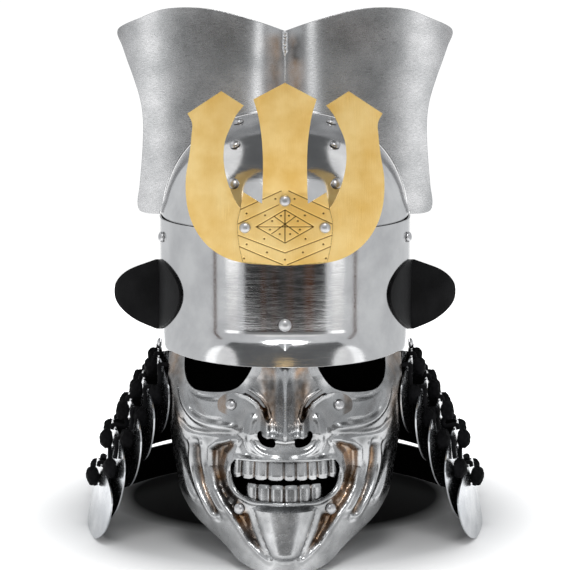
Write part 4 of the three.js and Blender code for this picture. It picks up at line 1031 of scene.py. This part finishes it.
def rivetPiece(node):
    corners = np.array([tuple(corner.co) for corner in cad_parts[node].data.vertices]) * 1000
    corners = np.unique(np.round(corners - (0, bowlMiddle * 1000, 0), 3), axis=0)
    centre = corners.mean(0)
    facing = np.linalg.svd(corners - centre)[2][2]
    furthest = corners[np.argmax(np.abs((corners - centre) @ facing))]
    if (furthest - centre) @ facing < 0:
        facing = -facing
    heights = (corners - centre) @ facing
    foot = heights.min()
    radius = np.linalg.norm((corners - centre) - heights[:, None] * facing, axis=1).max()
    side = np.cross(facing, (0, 0, 1.0))
    side /= np.linalg.norm(side)
    up = np.cross(side, facing)
    rings = [(radius, 0.0), (radius, headShape["foot"] * radius)]
    for lift in np.linspace(0, math.pi / 2, 14):
        rings.append((radius * (0.02 + headShape["across"] * math.cos(lift)),
                      radius * (headShape["rim"] + headShape["dome"] * math.sin(lift))))
    around = np.linspace(0, 2 * math.pi, 32, endpoint=False)
    circle = np.cos(around)[:, None] * side + np.sin(around)[:, None] * up
    points = [centre + (foot + height) * facing + reach * circle for reach, height in rings]
    at = np.arange(len(rings) * len(around)).reshape(len(rings), len(around))
    a, b = at[:-1], at[1:]
    faces = np.stack([a, np.roll(a, -1, 1), np.roll(b, -1, 1), b], -1).reshape(-1, 4).tolist()
    faces += [at[0].tolist()[::-1], at[-1].tolist()]
    piece = {"name": f"{node}_head", "nodes": [node], "slot": "rivet_steel", "materials": [rivetSteel],
             "sharp": 40}
    makePiece(piece, np.vstack(points), faces)


for node in sorted(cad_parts):
    if "rivet" in node or "pin" in node:
        rivetPiece(node)
print("rivets ready")


# Studio, in metres: a pale table and wall, soft boxes at both sides, a dark room with boards in front

def stagePlane(name, corners, material):
    mesh = bpy.data.meshes.new(name)
    mesh.from_pydata(corners, [], [(0, 1, 2, 3)])
    mesh.materials.append(material)
    link(mesh, name)


def levelPlane(name, half, front, back, z, material):
    corners = [(-half, front, z), (half, front, z), (half, back, z), (-half, back, z)]
    stagePlane(name, corners, material)


def upright(name, angle, distance, half, lowZ, highZ, material):
    turn = math.radians(angle)
    middle = (math.sin(turn) * distance, -math.cos(turn) * distance)
    corners = []
    for side, z in ((-half, lowZ), (half, lowZ), (half, highZ), (-half, highZ)):
        corners.append((middle[0] + side * math.cos(turn), middle[1] + side * math.sin(turn), z))
    stagePlane(name, corners, material)


def plain(name, code, glow=0.0):
    material, tree = startMaterial(name)
    if glow:
        shader = addNode(tree, "ShaderNodeEmission", {"Color": linear(code), "Strength": glow})
    else:
        shader = addNode(tree, "ShaderNodeBsdfPrincipled", {"Base Color": linear(code), "Roughness": 0.9})
    finishMaterial(tree, shader)
    return material


paleWall = plain("pale_wall", "#ffffff", 1.05)
softBox = plain("soft_box", "#ffffff", 0.9)
softBoxHigh = plain("soft_box_high", "#ffffff", 2.3)
softTop = plain("soft_top", "#ffffff", 1.0)
darkRoom = plain("dark_room", "#0e0c0b")
greyRoom = plain("grey_room", "#b8b8b8", 0.6)
woodBoard = plain("wood_board", "#8f5223", 0.3)
ceiling = plain("grey_ceiling", "#8c8e90", 0.55)

# The table is painted dark under the helmet as a painted shadow, and glows more and more away from it, which
# is painted light
table = {"middle": (0.0, 0.02, 0.0), "glowFrom": 0.17, "glowTo": 0.3,
         "shadeBack": 0.5, "shadeScale": (6.3, 7.4, 0.0)}
paleTableWithPaintedShadow, tree = startMaterial("pale_table_painted_shadow")
place = addNode(tree, "ShaderNodeTexCoord").outputs["Object"]
away = addNode(tree, "ShaderNodeVectorMath", {0: place, 1: table["middle"]}, operation="DISTANCE")
glow = addNode(tree, "ShaderNodeMapRange", {
    "Value": away.outputs["Value"], "From Min": table["glowFrom"], "From Max": table["glowTo"]})
under = addNode(tree, "ShaderNodeMapping", {
    "Vector": place, "Location": (0.0, -table["shadeBack"], 0.0), "Scale": table["shadeScale"]})
shadeAway = addNode(tree, "ShaderNodeVectorMath", {0: under.outputs[0]}, operation="LENGTH")
# painted shadow: the table's colour goes dark under the helmet
paintedShadowTone = ramp(tree, shadeAway.outputs["Value"], [(0.84, "#060606"), (1.08, "#f6f6f6")])
shader = addNode(tree, "ShaderNodeBsdfPrincipled", {
    "Base Color": paintedShadowTone, "Roughness": 0.9,
    "Emission Color": linear("#ffffff"), "Emission Strength": glow.outputs[0]})
finishMaterial(tree, shader)

levelPlane("table", 0.55, -0.95, 1.25, -0.0004, paleTableWithPaintedShadow)
levelPlane("ceiling", 2.0, -1.4, 1.6, 2.4, ceiling)
# name, degrees from the front, distance, half width, lower edge, upper edge and material
cards = [
    ("wall", 180, 3.2, 1.1, -0.6, 1.5, paleWall),
    ("dark_front", 0, 2.4, 1.5, -1.4, 0.0, darkRoom),
    ("grey_front", 0, 2.4, 1.5, 0.0, 0.75, greyRoom),
    ("soft_front", 0, 2.3, 1.0, 0.8, 1.35, softTop),
    ("board_left", -15, 2.25, 0.05, -1.2, 0.0, woodBoard),
    ("board_right", 17, 2.25, 0.14, -1.2, 0.0, woodBoard),
    ("board_middle", 3, 2.25, 0.05, -1.2, 0.0, woodBoard),
    ("board_narrow", -7, 2.25, 0.03, -1.2, 0.0, woodBoard),
    ("soft_box_left", -43, 1.9, 0.17, -0.6, 0.0, softBox),
    ("soft_box_right", 43, 1.9, 0.17, -0.6, 0.0, softBox),
    ("soft_box_high_left", -43, 1.9, 0.22, 0.0, 0.45, softBoxHigh),
    ("soft_box_high_right", 43, 1.9, 0.22, 0.0, 0.45, softBoxHigh),
    ("post_left", -62, 1.9, 0.05, -0.6, 1.3, woodBoard),
    ("post_right", 62, 1.9, 0.05, -0.6, 1.3, woodBoard)]
for card in cards:
    upright(*card)

world = bpy.data.worlds.new("studio_air")
bpy.context.scene.world = world
world.use_nodes = True
sky = world.node_tree
sky.nodes.clear()
background = addNode(sky, "ShaderNodeBackground", {"Color": linear("#eceef0"), "Strength": 0.9})
addNode(sky, "ShaderNodeOutputWorld", {"Surface": background.outputs[0]})


def softLight(name, place, aim, size, power):
    light = bpy.data.lights.new(name, "AREA")
    light.shape, light.energy = "ELLIPSE", power
    light.size, light.size_y = size, size * 0.55
    obj = bpy.data.objects.new(name, light)
    obj.location = place
    obj.rotation_euler = (Vector(aim) - Vector(place)).to_track_quat("-Z", "Y").to_euler()
    bpy.context.scene.collection.objects.link(obj)


softLight("light_front", (0, -0.86, 1.28), (0, -0.15, 0.2), 0.56, 5)
softLight("light_top_left", (-1.3, 0.4, 1.9), (0, 0.1, 0), 2.0, 5)
softLight("light_top_right", (1.3, 0.4, 1.9), (0, 0.1, 0), 2.0, 5)

view = {"lens": 123.2, "back": 1.5803, "height": 0.4533, "tilt": 81}
camera = bpy.data.cameras.new("camera")
camera.lens, camera.sensor_width = view["lens"], 36
camera.clip_start, camera.clip_end = 0.1, 20
cameraObject = bpy.data.objects.new("camera", camera)
cameraObject.location = (0, bowlMiddle - view["back"], view["height"])
cameraObject.rotation_euler = (math.radians(view["tilt"]), 0, 0)
bpy.context.scene.collection.objects.link(cameraObject)
bpy.context.scene.camera = cameraObject
bpy.context.scene.view_settings.view_transform = "Standard"
print("studio ready")
